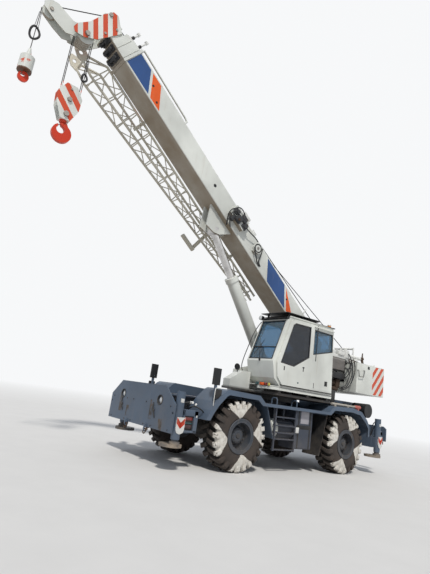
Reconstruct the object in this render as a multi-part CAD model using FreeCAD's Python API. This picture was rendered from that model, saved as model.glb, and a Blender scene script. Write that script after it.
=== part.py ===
import FreeCAD, Part
import math
import os

V = FreeCAD.Vector

# A four-wheel rough-terrain mobile crane of the 55 tonne class.
# All sizes are millimetres. X points forward, Y to the left (the cab's side), Z up.
# The model is laid out about the slewing axis, which is midway between the axles,
# and moved by ORIGIN_SHIFT at the end, so that the origin is under the middle of the whole.

# running clearances
SLIDE_GAP = 0.3      # flat runners that slide on each other
PIN_GAP = 0.05       # radial, shafts in bores
MOVE_GAP = 8.0       # pieces that pass each other
SEAT_GAP = 0.3       # curved seats inside one body

# wheels and axles
TYRE_DIAMETER = 1600.0
TYRE_WIDTH = 600.0
TYRE_FLATS = 20
CARCASS_RADIUS = 748.0
LUG_COUNT = 20
LUG_WIDTH = 94.0
LUG_TOP = 792.8
LUG_LEAN = 0.45
RIM_SEAT_RADIUS = 318.0
RIM_FLANGE_RADIUS = 392.0
RIM_WALL = 18.0
HUB_RADIUS = 165.0
SPINDLE_RADIUS = 80.0
WHEELBASE = 4000.0
TYRE_CENTRE_Y = 1180.0
KINGPIN_Y = 860.0
KINGPIN_RADIUS = 38.0
KNUCKLE_RADIUS = 112.0
AXLE_RADIUS = 130.0
DIFFERENTIAL_RADIUS = 270.0
YOKE_THICKNESS = 42.0
YOKE_HALF_WIDTH = 62.0
KNUCKLE_HEIGHT = 320.0

# carrier frame
RAIL_OUTER_Y = 450.0
RAIL_WALL = 30.0
RAIL_BOTTOM_Z = 1010.0
RAIL_TOP_Z = 1500.0
BELLY_BOTTOM_Z = 720.0
BELLY_HALF_LENGTH = 1000.0
DECK_THICKNESS = 30.0
DECK_HALF_WIDTH = 684.0
SLEW_SEAT_RADIUS = 690.0
SLEW_SEAT_TOP_Z = 1760.0

# fenders and side decks
FENDER_OUTER_Y = 1500.0
FENDER_INNER_Y = 694.0
FENDER_THICKNESS = 16.0
SIDE_DECK_Z = 1610.0
LADDER_X = (160.0, 900.0)
HOOP_RADIUS = 14.0

# outrigger housings, beams and jacks
BEAM_WIDTH = 200.0
BEAM_HEIGHT = 290.0
BEAM_WALL = 18.0
BEAM_BOTTOM_Z = 775.0
BEAM_LENGTH = 2550.0
HOUSING_WALL = 16.0
HOUSING_HALF_LENGTH = 1270.0
JACK_Y = 1398.0
JACK_RADIUS = 92.0
JACK_BORE_RADIUS = 74.0
JACK_BOTTOM_Z = 640.0
JACK_TOP_Z = 1610.0
PAD_RADIUS = 240.0
PAD_BOTTOM_Z = 480.0
PAD_THICKNESS = 60.0
FRONT_BEAM_X = (3765.0, 3500.0)     # left beam, right beam
REAR_BEAM_X = (-3640.0, -3905.0)

# front bumper plate
BUMPER_FACE_X = 3920.0
BUMPER_THICKNESS = 35.0
BUMPER_HALF_WIDTH = 1450.0
BUMPER_TOP_Z = 1680.0
BUMPER_BOTTOM_Z = 750.0
BUMPER_SHOULDER_Y = 1000.0
BUMPER_SHOULDER_Z = 1335.0
LAMP_Y = 850.0
LAMP_Z = 1370.0
LAMP_RADIUS = 92.0
LAMP_DRUM_RADIUS = 64.0
TOW_EYE_Y = 450.0
CORNER_EYE_Y = 1405.0
CORNER_EYE_Z = 1150.0
EYE_HOLE_RADIUS = 30.0
REAR_FACE_X = -4390.0

# engine hood
HOOD_FRONT_X = -2330.0
HOOD_REAR_X = -3770.0
HOOD_HALF_WIDTH = 660.0
HOOD_TOP_Z = 2000.0
GRILLE_Z = (1600.0, 1870.0)
GRILLE_DEPTH = 30.0
GRILLE_SLATS = 6

# turntable
TURNTABLE_FLOOR_Z = 1900.0
TURNTABLE_PLATE = 60.0
CHEEK_INNER_Y = 352.0
CHEEK_THICKNESS = 40.0
CHEEK_FRONT_X = 900.0
NOSE_FRONT_X = 1856.0
NOSE_OUTER_Y = 650.0
NOSE_TOP_Z = 2334.0
CAB_BASE_Z = 2060.0
CAB_BASE_BEAM = 90.0
COUNTERWEIGHT_REAR_X = -4230.0
COUNTERWEIGHT_FRONT_X = -2680.0
COUNTERWEIGHT_MIDDLE_X = -3520.0
COUNTERWEIGHT_HALF_WIDTH = 1200.0
COUNTERWEIGHT_WING_Y = 760.0
COUNTERWEIGHT_BOTTOM_Z = 2290.0
COUNTERWEIGHT_TOP_Z = 3200.0
HANDLE_RADIUS = 13.0
WINCH_X = (-2760.0, -3260.0)
WINCH_Z = 2970.0
WINCH_DRUM_RADIUS = 165.0
WINCH_FLANGE_RADIUS = 235.0

# cab
CAB_INNER_Y = 510.0
CAB_OUTER_Y = 1450.0
CAB_WALL = 50.0
GLASS_THICKNESS = 8.0
DOOR_THICKNESS = 40.0

# boom: the luffing axis, and the boom's frame turned up from the horizontal
PIVOT_X = -1950.0
PIVOT_Z = 3100.0
BOOM_ELEVATION = 36.8
PIVOT_PIN_RADIUS = 75.0
BOOM_WALL = 12.0
GUIDE_HALF_WIDTH = 160.0
GUIDE_RADIUS = 32.0
POLE_RADIUS = 24.0
BOOM_NEST_GAP = 26.0
# columns: name, half width, underside, top, rear end, front end (all along the boom)
BOOM_SECTIONS = (
    ("boom_base", 330.0, -120.0, 500.0, 250.0, 10000.0),
    ("boom_section_2", 292.0, -82.0, 462.0, 520.0, 10250.0),
    ("boom_section_3", 254.0, -44.0, 424.0, 790.0, 10450.0),
    ("boom_section_4", 216.0, -6.0, 386.0, 1060.0, 10640.0),
)

# boom head
HEAD_SHEAVE_S = 10800.0
HEAD_SHEAVE_H = -550.0
HEAD_SHEAVE_RADIUS = 200.0
TOP_SHEAVE_S = 10960.0
TOP_SHEAVE_H = 360.0
NOSE_SHEAVE_S = 11540.0
NOSE_SHEAVE_H = -920.0
NOSE_SHEAVE_RADIUS = 170.0
HEAD_PLATE_THICKNESS = 26.0

# luffing cylinder
ROD_EYE_S = 5340.0
ROD_EYE_H = -424.0
BARREL_BASE_Z = 2520.0
BARREL_BRACKET_Y = 180.0
CYLINDER_ANGLE = 53.3
BARREL_RADIUS = 168.0
BARREL_WALL = 24.0
BARREL_LENGTH = 2880.0
ROD_RADIUS = 105.0
ROD_LENGTH = 2980.0
EYE_RADIUS = 150.0
EYE_WIDTH = 220.0
EYE_PIN_RADIUS = 60.0

# hook block and hooks
BLOCK_DROP = 1730.0
BLOCK_SHEAVE_RADIUS = 200.0
FALL_RADIUS = 9.0
FALL_Y = 65.0
SHANK_RADIUS = 48.0
AUX_DROP = 1075.0
AUX_WEIGHT_RADIUS = 150.0

ORIGIN_SHIFT = 1890.0


def box(x0, x1, y0, y1, z0, z1):
    low = V(min(x0, x1), min(y0, y1), min(z0, z1))
    return Part.makeBox(abs(x1 - x0), abs(y1 - y0), abs(z1 - z0), low)


def outline(points):
    return Part.Face(Part.makePolygon(points + [points[0]]))


def slab_xz(points, y0, y1):
    """A plate with its outline in the side view, from y0 to y1."""
    return outline([V(x, y0, z) for x, z in points]).extrude(V(0, y1 - y0, 0))


def slab_xy(points, z0, z1):
    return outline([V(x, y, z0) for x, y in points]).extrude(V(0, 0, z1 - z0))


def slab_yz(points, x0, x1):
    return outline([V(x0, y, z) for y, z in points]).extrude(V(x1 - x0, 0, 0))


def disc_y(x, z, radius, y0, y1):
    low = min(y0, y1)
    return Part.makeCylinder(radius, abs(y1 - y0), V(x, low, z), V(0, 1, 0))


def disc_z(x, y, radius, z0, z1):
    return Part.makeCylinder(radius, abs(z1 - z0), V(x, y, min(z0, z1)), V(0, 0, 1))


def disc_x(y, z, radius, x0, x1):
    return Part.makeCylinder(radius, abs(x1 - x0), V(min(x0, x1), y, z), V(1, 0, 0))


def bar(start, end, radius):
    run = V(*end) - V(*start)
    return Part.makeCylinder(radius, run.Length, V(*start), run)


def bent_bar(points, radius):
    """A round bar along a bent line, with a ball at each bend."""
    runs = [bar(start, end, radius) for start, end in zip(points, points[1:])]
    balls = [Part.makeSphere(radius, V(*point)) for point in points[1:-1]]
    return fuse(runs + balls)


def fuse(pieces):
    first = pieces[0]
    if len(pieces) > 1:
        first = first.fuse(pieces[1:])
    return first.removeSplitter()


def group(pieces):
    """Solids that belong to one sub-part and don't touch."""
    solids = []
    for piece in pieces:
        solids.extend(piece.Solids)
    return Part.makeCompound(solids)


def flip_y(shape):
    return shape.mirror(V(0, 0, 0), V(0, 1, 0))


def both_sides(shape):
    return [shape, flip_y(shape)]


def inset(points, distance):
    """The outline shrunk by a distance, as a list of corners."""
    wire = Part.makePolygon([V(x, 0, z) for x, z in points + [points[0]]])
    small = Part.Face(wire).makeOffset2D(-distance, 2)
    corners = small.OuterWire.OrderedVertexes
    return [(vertex.Point.x, vertex.Point.z) for vertex in corners]


def offset_line(points, distance):
    """An open bent line moved to its left by a distance, with mitred corners."""
    moved = []
    for index, (x, z) in enumerate(points):
        normals = []
        for first, second in ((index - 1, index), (index, index + 1)):
            if first < 0 or second >= len(points):
                continue
            run_x = points[second][0] - points[first][0]
            run_z = points[second][1] - points[first][1]
            size = math.hypot(run_x, run_z)
            normals.append((-run_z / size, run_x / size))
        mean_x = sum(n[0] for n in normals) / len(normals)
        mean_z = sum(n[1] for n in normals) / len(normals)
        scale = distance / (mean_x ** 2 + mean_z ** 2)
        moved.append((x + mean_x * scale, z + mean_z * scale))
    return moved


def on_boom(shape):
    """From the boom's own frame, along S and up H, to its place on the turntable."""
    placed = shape.copy()
    turn = FreeCAD.Rotation(V(0, 1, 0), -BOOM_ELEVATION)
    placed.Placement = FreeCAD.Placement(V(PIVOT_X, 0, PIVOT_Z), turn).multiply(placed.Placement)
    return placed


def boom_point(s, h, y=0.0):
    angle = math.radians(BOOM_ELEVATION)
    x = PIVOT_X + s * math.cos(angle) - h * math.sin(angle)
    z = PIVOT_Z + s * math.sin(angle) + h * math.cos(angle)
    return V(x, y, z)


# places that several pieces share
AXLE_Z = TYRE_DIAMETER / 2
AXLE_X = WHEELBASE / 2
# columns: name, side along X, side along Y
WHEEL_TABLE = (
    ("front_left", 1, 1),
    ("front_right", 1, -1),
    ("rear_left", -1, 1),
    ("rear_right", -1, -1),
)
# columns: name, X of the beam, side along Y
OUTRIGGER_TABLE = (
    ("front_left", FRONT_BEAM_X[0], 1),
    ("front_right", FRONT_BEAM_X[1], -1),
    ("rear_left", REAR_BEAM_X[0], 1),
    ("rear_right", REAR_BEAM_X[1], -1),
)
CAB_PROFILE = [(-1180, CAB_BASE_Z), (900, CAB_BASE_Z), (1130, 2240), (1232, 2650),
               (832, 3800), (770, 3860), (-1020, 3900), (-1085, 3850)]
DOOR_PROFILE = [(-190, CAB_BASE_Z + 45), (880, CAB_BASE_Z + 45), (1060, 2290), (1120, 2640),
                (745, 3740), (680, 3790), (-190, 3790)]
DOOR_WINDOW = [(-60, 2930), (500, 2620), (985, 2650), (640, 3660), (560, 3715), (-45, 3735)]
REAR_WINDOW = [(-285, 3050), (-275, 3710), (-1050, 3710), (-1085, 3240)]
FAR_WINDOW = [(-950, 2950), (480, 2640), (1060, 2680), (740, 3640), (640, 3720), (-950, 3720)]


def wheel_place(side_x, side_y):
    return V(side_x * AXLE_X, side_y * TYRE_CENTRE_Y, AXLE_Z)


# carrier

def chassis():
    rail = slab_xz([(-3230, RAIL_BOTTOM_Z), (-BELLY_HALF_LENGTH - 250, RAIL_BOTTOM_Z),
                    (-BELLY_HALF_LENGTH, BELLY_BOTTOM_Z), (BELLY_HALF_LENGTH, BELLY_BOTTOM_Z),
                    (BELLY_HALF_LENGTH + 250, RAIL_BOTTOM_Z), (3380, RAIL_BOTTOM_Z),
                    (3380, RAIL_TOP_Z), (-3230, RAIL_TOP_Z)],
                   RAIL_OUTER_Y - RAIL_WALL, RAIL_OUTER_Y)
    inner = RAIL_OUTER_Y - RAIL_WALL
    pieces = both_sides(rail)
    for x in (-3230, -2600, -BELLY_HALF_LENGTH, BELLY_HALF_LENGTH - RAIL_WALL, 2600, 3350):
        low = BELLY_BOTTOM_Z if abs(x) <= BELLY_HALF_LENGTH else RAIL_BOTTOM_Z
        pieces.append(box(x, x + RAIL_WALL, -inner, inner, low, RAIL_TOP_Z))
    pieces.append(box(-BELLY_HALF_LENGTH, BELLY_HALF_LENGTH, -inner, inner,
                      BELLY_BOTTOM_Z, BELLY_BOTTOM_Z + RAIL_WALL))
    deck = box(-3230, 3380, -DECK_HALF_WIDTH, DECK_HALF_WIDTH, RAIL_TOP_Z, RAIL_TOP_Z + DECK_THICKNESS)
    seat = disc_z(0, 0, SLEW_SEAT_RADIUS, RAIL_TOP_Z + DECK_THICKNESS, SLEW_SEAT_TOP_Z)
    seat = seat.cut(disc_z(0, 0, SLEW_SEAT_RADIUS - 110, RAIL_TOP_Z + DECK_THICKNESS, SLEW_SEAT_TOP_Z))
    return fuse(pieces + [deck, seat])


def outrigger_tube(x):
    """The square housing that one beam slides out of."""
    wide = BEAM_WIDTH / 2 + SLIDE_GAP
    outer = box(x - wide - HOUSING_WALL, x + wide + HOUSING_WALL,
                -HOUSING_HALF_LENGTH, HOUSING_HALF_LENGTH,
                BEAM_BOTTOM_Z - SLIDE_GAP - HOUSING_WALL,
                BEAM_BOTTOM_Z + BEAM_HEIGHT + SLIDE_GAP + HOUSING_WALL)
    bore = box(x - wide, x + wide, -HOUSING_HALF_LENGTH, HOUSING_HALF_LENGTH,
               BEAM_BOTTOM_Z - SLIDE_GAP, BEAM_BOTTOM_Z + BEAM_HEIGHT + SLIDE_GAP)
    return outer, bore


def housing_block(beams, near_x, far_x):
    """Two beam housings side by side and the box that ties them to the frame rails."""
    tubes = [outrigger_tube(x) for x in beams]
    top = BEAM_BOTTOM_Z + BEAM_HEIGHT + SLIDE_GAP + HOUSING_WALL
    tower = box(near_x, far_x, -RAIL_OUTER_Y, RAIL_OUTER_Y, BEAM_BOTTOM_Z - HOUSING_WALL, RAIL_TOP_Z)
    hollow = box(near_x + 40, far_x - 40, -RAIL_OUTER_Y + RAIL_WALL, RAIL_OUTER_Y - RAIL_WALL,
                 top, RAIL_TOP_Z)
    body = fuse([tower.cut(hollow)] + [tube[0] for tube in tubes])
    return body.cut([tube[1] for tube in tubes])


def front_housing():
    low_x = min(FRONT_BEAM_X) - BEAM_WIDTH / 2 - 20
    back = BUMPER_FACE_X - BUMPER_THICKNESS
    body = housing_block(FRONT_BEAM_X, low_x, back)
    corners = [(-BUMPER_HALF_WIDTH, BUMPER_BOTTOM_Z), (BUMPER_HALF_WIDTH, BUMPER_BOTTOM_Z),
               (BUMPER_HALF_WIDTH, BUMPER_SHOULDER_Z), (BUMPER_SHOULDER_Y, BUMPER_TOP_Z),
               (-BUMPER_SHOULDER_Y, BUMPER_TOP_Z), (-BUMPER_HALF_WIDTH, BUMPER_SHOULDER_Z)]
    plate = slab_yz(corners, back, BUMPER_FACE_X)
    deck = box(low_x, back, -BUMPER_SHOULDER_Y, BUMPER_SHOULDER_Y, RAIL_TOP_Z, RAIL_TOP_Z + DECK_THICKNESS)
    pieces = [body, plate, deck]
    for side in (1, -1):
        pieces.append(box(back - 300, back, side * LAMP_Y - 12 * side, side * (LAMP_Y + 12),
                          BEAM_BOTTOM_Z + BEAM_HEIGHT, RAIL_TOP_Z).cut(
                      disc_x(side * LAMP_Y, LAMP_Z, LAMP_RADIUS + 40, back - 300, back)))
    whole = fuse(pieces)
    for side in (1, -1):
        whole = whole.cut(disc_x(side * LAMP_Y, LAMP_Z, LAMP_RADIUS, back - 5, BUMPER_FACE_X + 5))
    lamps = []
    for side in (1, -1):
        cup = disc_x(side * LAMP_Y, LAMP_Z, LAMP_RADIUS + 30, back - 90, back)
        cup = cup.cut(disc_x(side * LAMP_Y, LAMP_Z, LAMP_RADIUS - 6, back - 70, back))
        drum = disc_x(side * LAMP_Y, LAMP_Z, LAMP_DRUM_RADIUS, back - 75, back - 22)
        lamps += [cup, drum, tow_eye(side)]
        whole = whole.cut(disc_x(side * CORNER_EYE_Y, CORNER_EYE_Z, EYE_HOLE_RADIUS, back - 5, BUMPER_FACE_X + 5))
    return fuse([whole] + lamps)


def tow_eye(side):
    """The plate with a hole that a shackle hangs in, under the bumper's edge."""
    face = BUMPER_FACE_X
    plate = slab_xz([(face - 35, 830), (face + 50, 805), (face + 65, 710), (face + 30, 655), (face - 20, 655),
                     (face - 35, 700)], side * TOW_EYE_Y - 16, side * TOW_EYE_Y + 16)
    return plate.cut(disc_y(face + 20, 712, EYE_HOLE_RADIUS, side * TOW_EYE_Y - 20, side * TOW_EYE_Y + 20))


def rear_housing():
    high_x = max(REAR_BEAM_X) + BEAM_WIDTH / 2 + 20
    low_x = min(REAR_BEAM_X) - BEAM_WIDTH / 2 - 20
    body = housing_block(REAR_BEAM_X, low_x, high_x)
    link = box(high_x, -3230, -RAIL_OUTER_Y, RAIL_OUTER_Y, RAIL_BOTTOM_Z, RAIL_TOP_Z)
    deck = box(low_x, -3230, -DECK_HALF_WIDTH, DECK_HALF_WIDTH, RAIL_TOP_Z, RAIL_TOP_Z + DECK_THICKNESS)
    bumper = slab_yz([(-1250, 950), (1250, 950), (1250, 1330), (1150, 1400), (-1150, 1400), (-1250, 1330)],
                     REAR_FACE_X, REAR_FACE_X + 40)
    arms = [box(REAR_FACE_X + 40, low_x, y - 40, y + 40, 1000, 1300) for y in (-400, 400)]
    return fuse([body, link, deck, bumper] + arms)


def fender_strip(points, skirt_points):
    """A bent top plate with a folded skirt along the outer edge, left side."""
    top = slab_xz(points + list(reversed(offset_line(points, FENDER_THICKNESS))), FENDER_INNER_Y, FENDER_OUTER_Y)
    skirt = slab_xz(points + list(reversed(skirt_points)), FENDER_OUTER_Y - FENDER_THICKNESS, FENDER_OUTER_Y)
    return fuse([top, skirt])


def fenders():
    top = [(3095, 1085), (3003, 1300), (2881, 1494), (2761, 1621), (2640, 1745), (2560, 1790), (1560, 1760),
           (1370, SIDE_DECK_Z),
           (-1110, SIDE_DECK_Z), (-1290, 1780), (-2180, 1812), (-2610, 1740), (-2900, 1530),
           (-3045, 1340), (-3045, 1060)]
    lower = [(2985, 1085), (2900, 1250), (2790, 1415), (2680, 1535), (2585, 1635), (2520, 1672), (1610, 1650),
             (1440, SIDE_DECK_Z - 75),
             (-1180, SIDE_DECK_Z - 75), (-1350, 1672), (-2160, 1690), (-2550, 1640), (-2830, 1450),
             (-2985, 1290), (-2985, 1060)]
    left = fender_strip(top, lower)
    wall = slab_xz([(2870, RAIL_TOP_Z), (2755, 1615), (2635, 1738), (2560, 1780), (1560, 1750), (1370, 1600),
                    (1370, RAIL_TOP_Z)], FENDER_INNER_Y, FENDER_INNER_Y + FENDER_THICKNESS)
    wall_rear = slab_xz([(-1110, 1600), (-1290, 1770), (-2180, 1800), (-2610, 1730), (-2880, RAIL_TOP_Z),
                         (-1110, RAIL_TOP_Z)], FENDER_INNER_Y, FENDER_INNER_Y + FENDER_THICKNESS)
    side = box(-1110, 1370, FENDER_INNER_Y, FENDER_INNER_Y + FENDER_THICKNESS, RAIL_TOP_Z, SIDE_DECK_Z)
    flap = slab_xz([(-1116, SIDE_DECK_Z - 10), (-1100, SIDE_DECK_Z - 10), (-842, 450), (-858, 450)], 870, 1440)
    flap_front = slab_xz([(1266, SIDE_DECK_Z - 10), (1250, SIDE_DECK_Z - 10), (930, 800), (945, 800)],
                         1000, 1440)
    foot = box(-3000, 2880, DECK_HALF_WIDTH, FENDER_INNER_Y + FENDER_THICKNESS, RAIL_TOP_Z,
               RAIL_TOP_Z + DECK_THICKNESS)
    post = fuse([box(2830, 2890, 1345, 1385, 1500, 1860), box(2765, 2950, 1335, 1395, 1850, 2220)])
    hoops = [bent_bar([(x, 1420, SIDE_DECK_Z - 8), (x, 1420, 1735), (x, 1385, 1770), (x, 1275, 1770),
                       (x, 1240, 1735), (x, 1240, SIDE_DECK_Z - 8)], HOOP_RADIUS) for x in LADDER_X]
    lower_left = fuse([left, wall, wall_rear, side, flap, flap_front, foot, post] + hoops)
    return group(both_sides(lower_left))


def side_equipment():
    """Ladders, fuel and oil tanks and air reservoirs, hung under the side decks."""
    stiles = [box(x - 20, x + 20, 1400, 1440, 520, SIDE_DECK_Z - FENDER_THICKNESS) for x in LADDER_X]
    rungs = [box(140, 920, 1370, 1440, z, z + 30) for z in (540, 790, 940, 1110, 1310)]
    hang = [box(x - 20, x + 20, 1250, 1440, 1560, SIDE_DECK_Z - FENDER_THICKNESS) for x in LADDER_X]
    ladder = fuse(stiles + rungs + hang)
    tank = box(-590, 60, 820, 1350, 580, SIDE_DECK_Z - FENDER_THICKNESS)
    tank = tank.makeFillet(40, [e for e in tank.Edges if abs(e.tangentAt(e.FirstParameter).x) > 0.9])
    reservoir = fuse([Part.makeCylinder(230, 760, V(110, 1130, 1030), V(1, 0, 0)),
                      box(300, 360, 1100, 1160, 1240, SIDE_DECK_Z - FENDER_THICKNESS),
                      box(650, 710, 1100, 1160, 1240, SIDE_DECK_Z - FENDER_THICKNESS)])
    left = [ladder, tank, reservoir]
    return group(left + [flip_y(piece) for piece in left])


def engine_hood():
    low = RAIL_TOP_Z + DECK_THICKNESS
    shape = slab_xz([(HOOD_FRONT_X, low), (HOOD_REAR_X, low), (HOOD_REAR_X, HOOD_TOP_Z - 80),
                     (HOOD_REAR_X + 120, HOOD_TOP_Z), (HOOD_FRONT_X - 60, HOOD_TOP_Z),
                     (HOOD_FRONT_X, HOOD_TOP_Z - 60)], -HOOD_HALF_WIDTH, HOOD_HALF_WIDTH)
    drum = disc_y(-3200, 1800, 205, 840, 1330)
    saddle = box(-3290, -3110, HOOD_HALF_WIDTH - 20, 870, low, 1700)
    drum_foot = box(-3290, -3110, 850, 1000, 1560, 1700)
    rear_grille = box(HOOD_REAR_X, HOOD_REAR_X + GRILLE_DEPTH, -470, 470, *GRILLE_Z)
    side_grille = box(-3050, -2450, HOOD_HALF_WIDTH - GRILLE_DEPTH, HOOD_HALF_WIDTH, *GRILLE_Z)
    shape = shape.cut([rear_grille] + both_sides(side_grille))
    slats = []
    pitch = (GRILLE_Z[1] - GRILLE_Z[0]) / GRILLE_SLATS
    for index in range(GRILLE_SLATS):
        z = GRILLE_Z[0] + (index + 0.5) * pitch
        low_z, high_z = z - pitch * 0.32, z - pitch * 0.02
        slats.append(box(HOOD_REAR_X, HOOD_REAR_X + GRILLE_DEPTH + 5, -475, 475, low_z, high_z))
        slats += both_sides(box(-3055, -2445, HOOD_HALF_WIDTH - GRILLE_DEPTH - 5, HOOD_HALF_WIDTH, low_z, high_z))
    return fuse([shape, drum, saddle, drum_foot] + slats)


def axles():
    pieces = []
    reach = KINGPIN_Y - KNUCKLE_RADIUS - MOVE_GAP
    for side in (1, -1):
        x = side * AXLE_X
        beam = disc_y(x, AXLE_Z, AXLE_RADIUS, -reach, reach)
        ball = Part.makeSphere(DIFFERENTIAL_RADIUS, V(x, 0, AXLE_Z))
        seats = [box(x - 150, x + 150, y, y + RAIL_WALL + 40, AXLE_Z, RAIL_BOTTOM_Z)
                 for y in (RAIL_OUTER_Y - RAIL_WALL - 20, -RAIL_OUTER_Y - 20)]
        parts = [beam, ball] + seats
        for end in (1, -1):
            for up in (1, -1):
                inner = KNUCKLE_HEIGHT / 2 + MOVE_GAP
                z0 = AXLE_Z + up * inner
                z1 = AXLE_Z + up * (inner + YOKE_THICKNESS)
                arm = box(x - YOKE_HALF_WIDTH, x + YOKE_HALF_WIDTH, end * (reach - 90), end * (KINGPIN_Y), z0, z1)
                tip = disc_z(x, end * KINGPIN_Y, YOKE_HALF_WIDTH, z0, z1)
                neck = box(x - YOKE_HALF_WIDTH, x + YOKE_HALF_WIDTH, end * (reach - 90), end * reach,
                           AXLE_Z, z1)
                bore = disc_z(x, end * KINGPIN_Y, KINGPIN_RADIUS + PIN_GAP, z0, z1)
                parts.append(fuse([arm, tip, neck]).cut(bore))
        pieces.append(fuse(parts))
    return group(pieces)


def knuckle(side_x, side_y):
    x = side_x * AXLE_X
    y = side_y * KINGPIN_Y
    half = KNUCKLE_HEIGHT / 2
    top = half + MOVE_GAP + YOKE_THICKNESS
    barrel = disc_z(x, y, KNUCKLE_RADIUS, AXLE_Z - half, AXLE_Z + half)
    pin = disc_z(x, y, KINGPIN_RADIUS, AXLE_Z - top, AXLE_Z + top)
    spindle = disc_y(x, AXLE_Z, SPINDLE_RADIUS, y, side_y * (TYRE_CENTRE_Y + 90))
    flange = disc_y(x, AXLE_Z, 150, side_y * (KINGPIN_Y + 90), side_y * (KINGPIN_Y + 150))
    return fuse([barrel, pin, spindle, flange])


def ring_profile(points, place):
    """A body turned about the wheel's axle from an outline of (offset along Y, radius)."""
    corners = [V(0, y, r) for y, r in points]
    shape = outline(corners).revolve(V(0, 0, 0), V(0, 1, 0), 360)
    shape.translate(place)
    return shape


def rim(side_x, side_y):
    """A dished disc wheel with a five-piece style flange, seen from the outside."""
    half = TYRE_WIDTH / 2 - 20
    out = RIM_SEAT_RADIUS
    inn = out - RIM_WALL
    bore = SPINDLE_RADIUS + PIN_GAP
    points = [(-half, inn), (-half, RIM_FLANGE_RADIUS), (-half + 18, RIM_FLANGE_RADIUS), (-half + 18, out),
              (half - 18, out), (half - 18, RIM_FLANGE_RADIUS), (half, RIM_FLANGE_RADIUS), (half, inn),
              (70, inn), (60, HUB_RADIUS + 60), (150, HUB_RADIUS), (165, HUB_RADIUS - 40), (165, 0),
              (95, 0), (95, bore), (-90, bore), (-90, HUB_RADIUS - 25), (20, HUB_RADIUS - 25), (20, inn)]
    points = [(side_y * y, r) for y, r in points]
    return ring_profile(points, wheel_place(side_x, side_y))


def flat_ring(points, count):
    """A ring about the axle with flat sides, from a closed outline of (offset along Y, radius)."""
    step = 2 * math.pi / count
    rows = []
    for turn in range(count):
        sine, cosine = math.sin(turn * step), math.cos(turn * step)
        rows.append([V(radius * sine, y, radius * cosine) for y, radius in points])
    faces = []
    for turn in range(count):
        near, far = rows[turn], rows[(turn + 1) % count]
        for corner in range(len(points)):
            after = (corner + 1) % len(points)
            faces.append(outline([near[corner], near[after], far[after], far[corner]]))
    ring = Part.Solid(Part.Shell(faces))
    if ring.Volume < 0:
        ring.reverse()
    return ring


def tread_lug(turn, side):
    """One tread lug, leaning round the tyre and folded over its shoulder."""
    half = TYRE_WIDTH / 2
    low = CARCASS_RADIUS - 25
    line = [(14, low), (14, LUG_TOP), (half - 130, LUG_TOP), (half - 60, LUG_TOP - 26), (half - 1, 655),
            (half - 38, 640), (half - 75, low)]
    face = outline([V((y - half / 2) * LUG_LEAN - LUG_WIDTH / 2, y, z) for y, z in line])
    lug = face.extrude(V(LUG_WIDTH, 0, 0))
    if side < 0:
        lug = flip_y(lug)
    lug.rotate(V(0, 0, 0), V(0, 1, 0), turn)
    return lug


def tyre():
    """An earthmover tyre about the origin, its lugs staggered from side to side."""
    half = TYRE_WIDTH / 2
    grow = 1 / math.cos(math.pi / TYRE_FLATS)
    bead = (RIM_SEAT_RADIUS + SEAT_GAP) * grow
    seat = half - 20 - 18 - SEAT_GAP
    flange = (RIM_FLANGE_RADIUS + 6) * grow
    points = [(-seat, bead), (-seat, flange), (-half, 560), (-half + 25, 700), (-half + 75, CARCASS_RADIUS),
              (half - 75, CARCASS_RADIUS), (half - 25, 700), (half, 560), (seat, flange), (seat, bead)]
    pitch = 360 / LUG_COUNT
    lugs = [tread_lug(index * pitch, 1) for index in range(LUG_COUNT)]
    lugs += [tread_lug((index + 0.5) * pitch, -1) for index in range(LUG_COUNT)]
    return flat_ring(points, TYRE_FLATS).fuse(lugs).removeSplitter()


def place_tyre(shape, side_x, side_y):
    placed = shape.copy() if side_y > 0 else flip_y(shape)
    placed.translate(wheel_place(side_x, side_y))
    return placed


def outrigger_beam(x, side):
    """A sliding box beam with the jack's tube at its outer end."""
    end_y = HOUSING_HALF_LENGTH + 20
    outer = box(x - BEAM_WIDTH / 2, x + BEAM_WIDTH / 2, end_y - BEAM_LENGTH, end_y,
                BEAM_BOTTOM_Z, BEAM_BOTTOM_Z + BEAM_HEIGHT)
    hollow = box(x - BEAM_WIDTH / 2 + BEAM_WALL, x + BEAM_WIDTH / 2 - BEAM_WALL, end_y - BEAM_LENGTH, end_y,
                 BEAM_BOTTOM_Z + BEAM_WALL, BEAM_BOTTOM_Z + BEAM_HEIGHT - BEAM_WALL)
    block = box(x - BEAM_WIDTH / 2, x + BEAM_WIDTH / 2, end_y, JACK_Y, BEAM_BOTTOM_Z, BEAM_BOTTOM_Z + BEAM_HEIGHT)
    tube = disc_z(x, JACK_Y, JACK_RADIUS, JACK_BOTTOM_Z, JACK_TOP_Z)
    bore = disc_z(x, JACK_Y, JACK_BORE_RADIUS, JACK_BOTTOM_Z, JACK_TOP_Z - 25)
    whole = fuse([outer.cut(hollow), block, tube]).cut(bore)
    return whole if side > 0 else flip_y(whole)


def outrigger_jack(x, side):
    """The jack's rod with its float pad."""
    rod = disc_z(x, JACK_Y, JACK_BORE_RADIUS - PIN_GAP, PAD_BOTTOM_Z + PAD_THICKNESS, JACK_TOP_Z - 60)
    neck = disc_z(x, JACK_Y, 110, PAD_BOTTOM_Z + PAD_THICKNESS, PAD_BOTTOM_Z + PAD_THICKNESS + 60)
    pad = disc_z(x, JACK_Y - 140, PAD_RADIUS, PAD_BOTTOM_Z, PAD_BOTTOM_Z + PAD_THICKNESS)
    whole = fuse([rod, neck, pad])
    return whole if side > 0 else flip_y(whole)


# turntable

def cheek_outline():
    floor = TURNTABLE_FLOOR_Z
    return [(COUNTERWEIGHT_MIDDLE_X, 2300), (-2650, 2250), (-2330, 2110), (-2180, floor), (CHEEK_FRONT_X, floor),
            (CHEEK_FRONT_X, 2420), (200, 2620), (-700, 2950), (-1500, 3390), (-2150, 3390),
            (-2420, 2700), (COUNTERWEIGHT_MIDDLE_X, 2700)]


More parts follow.
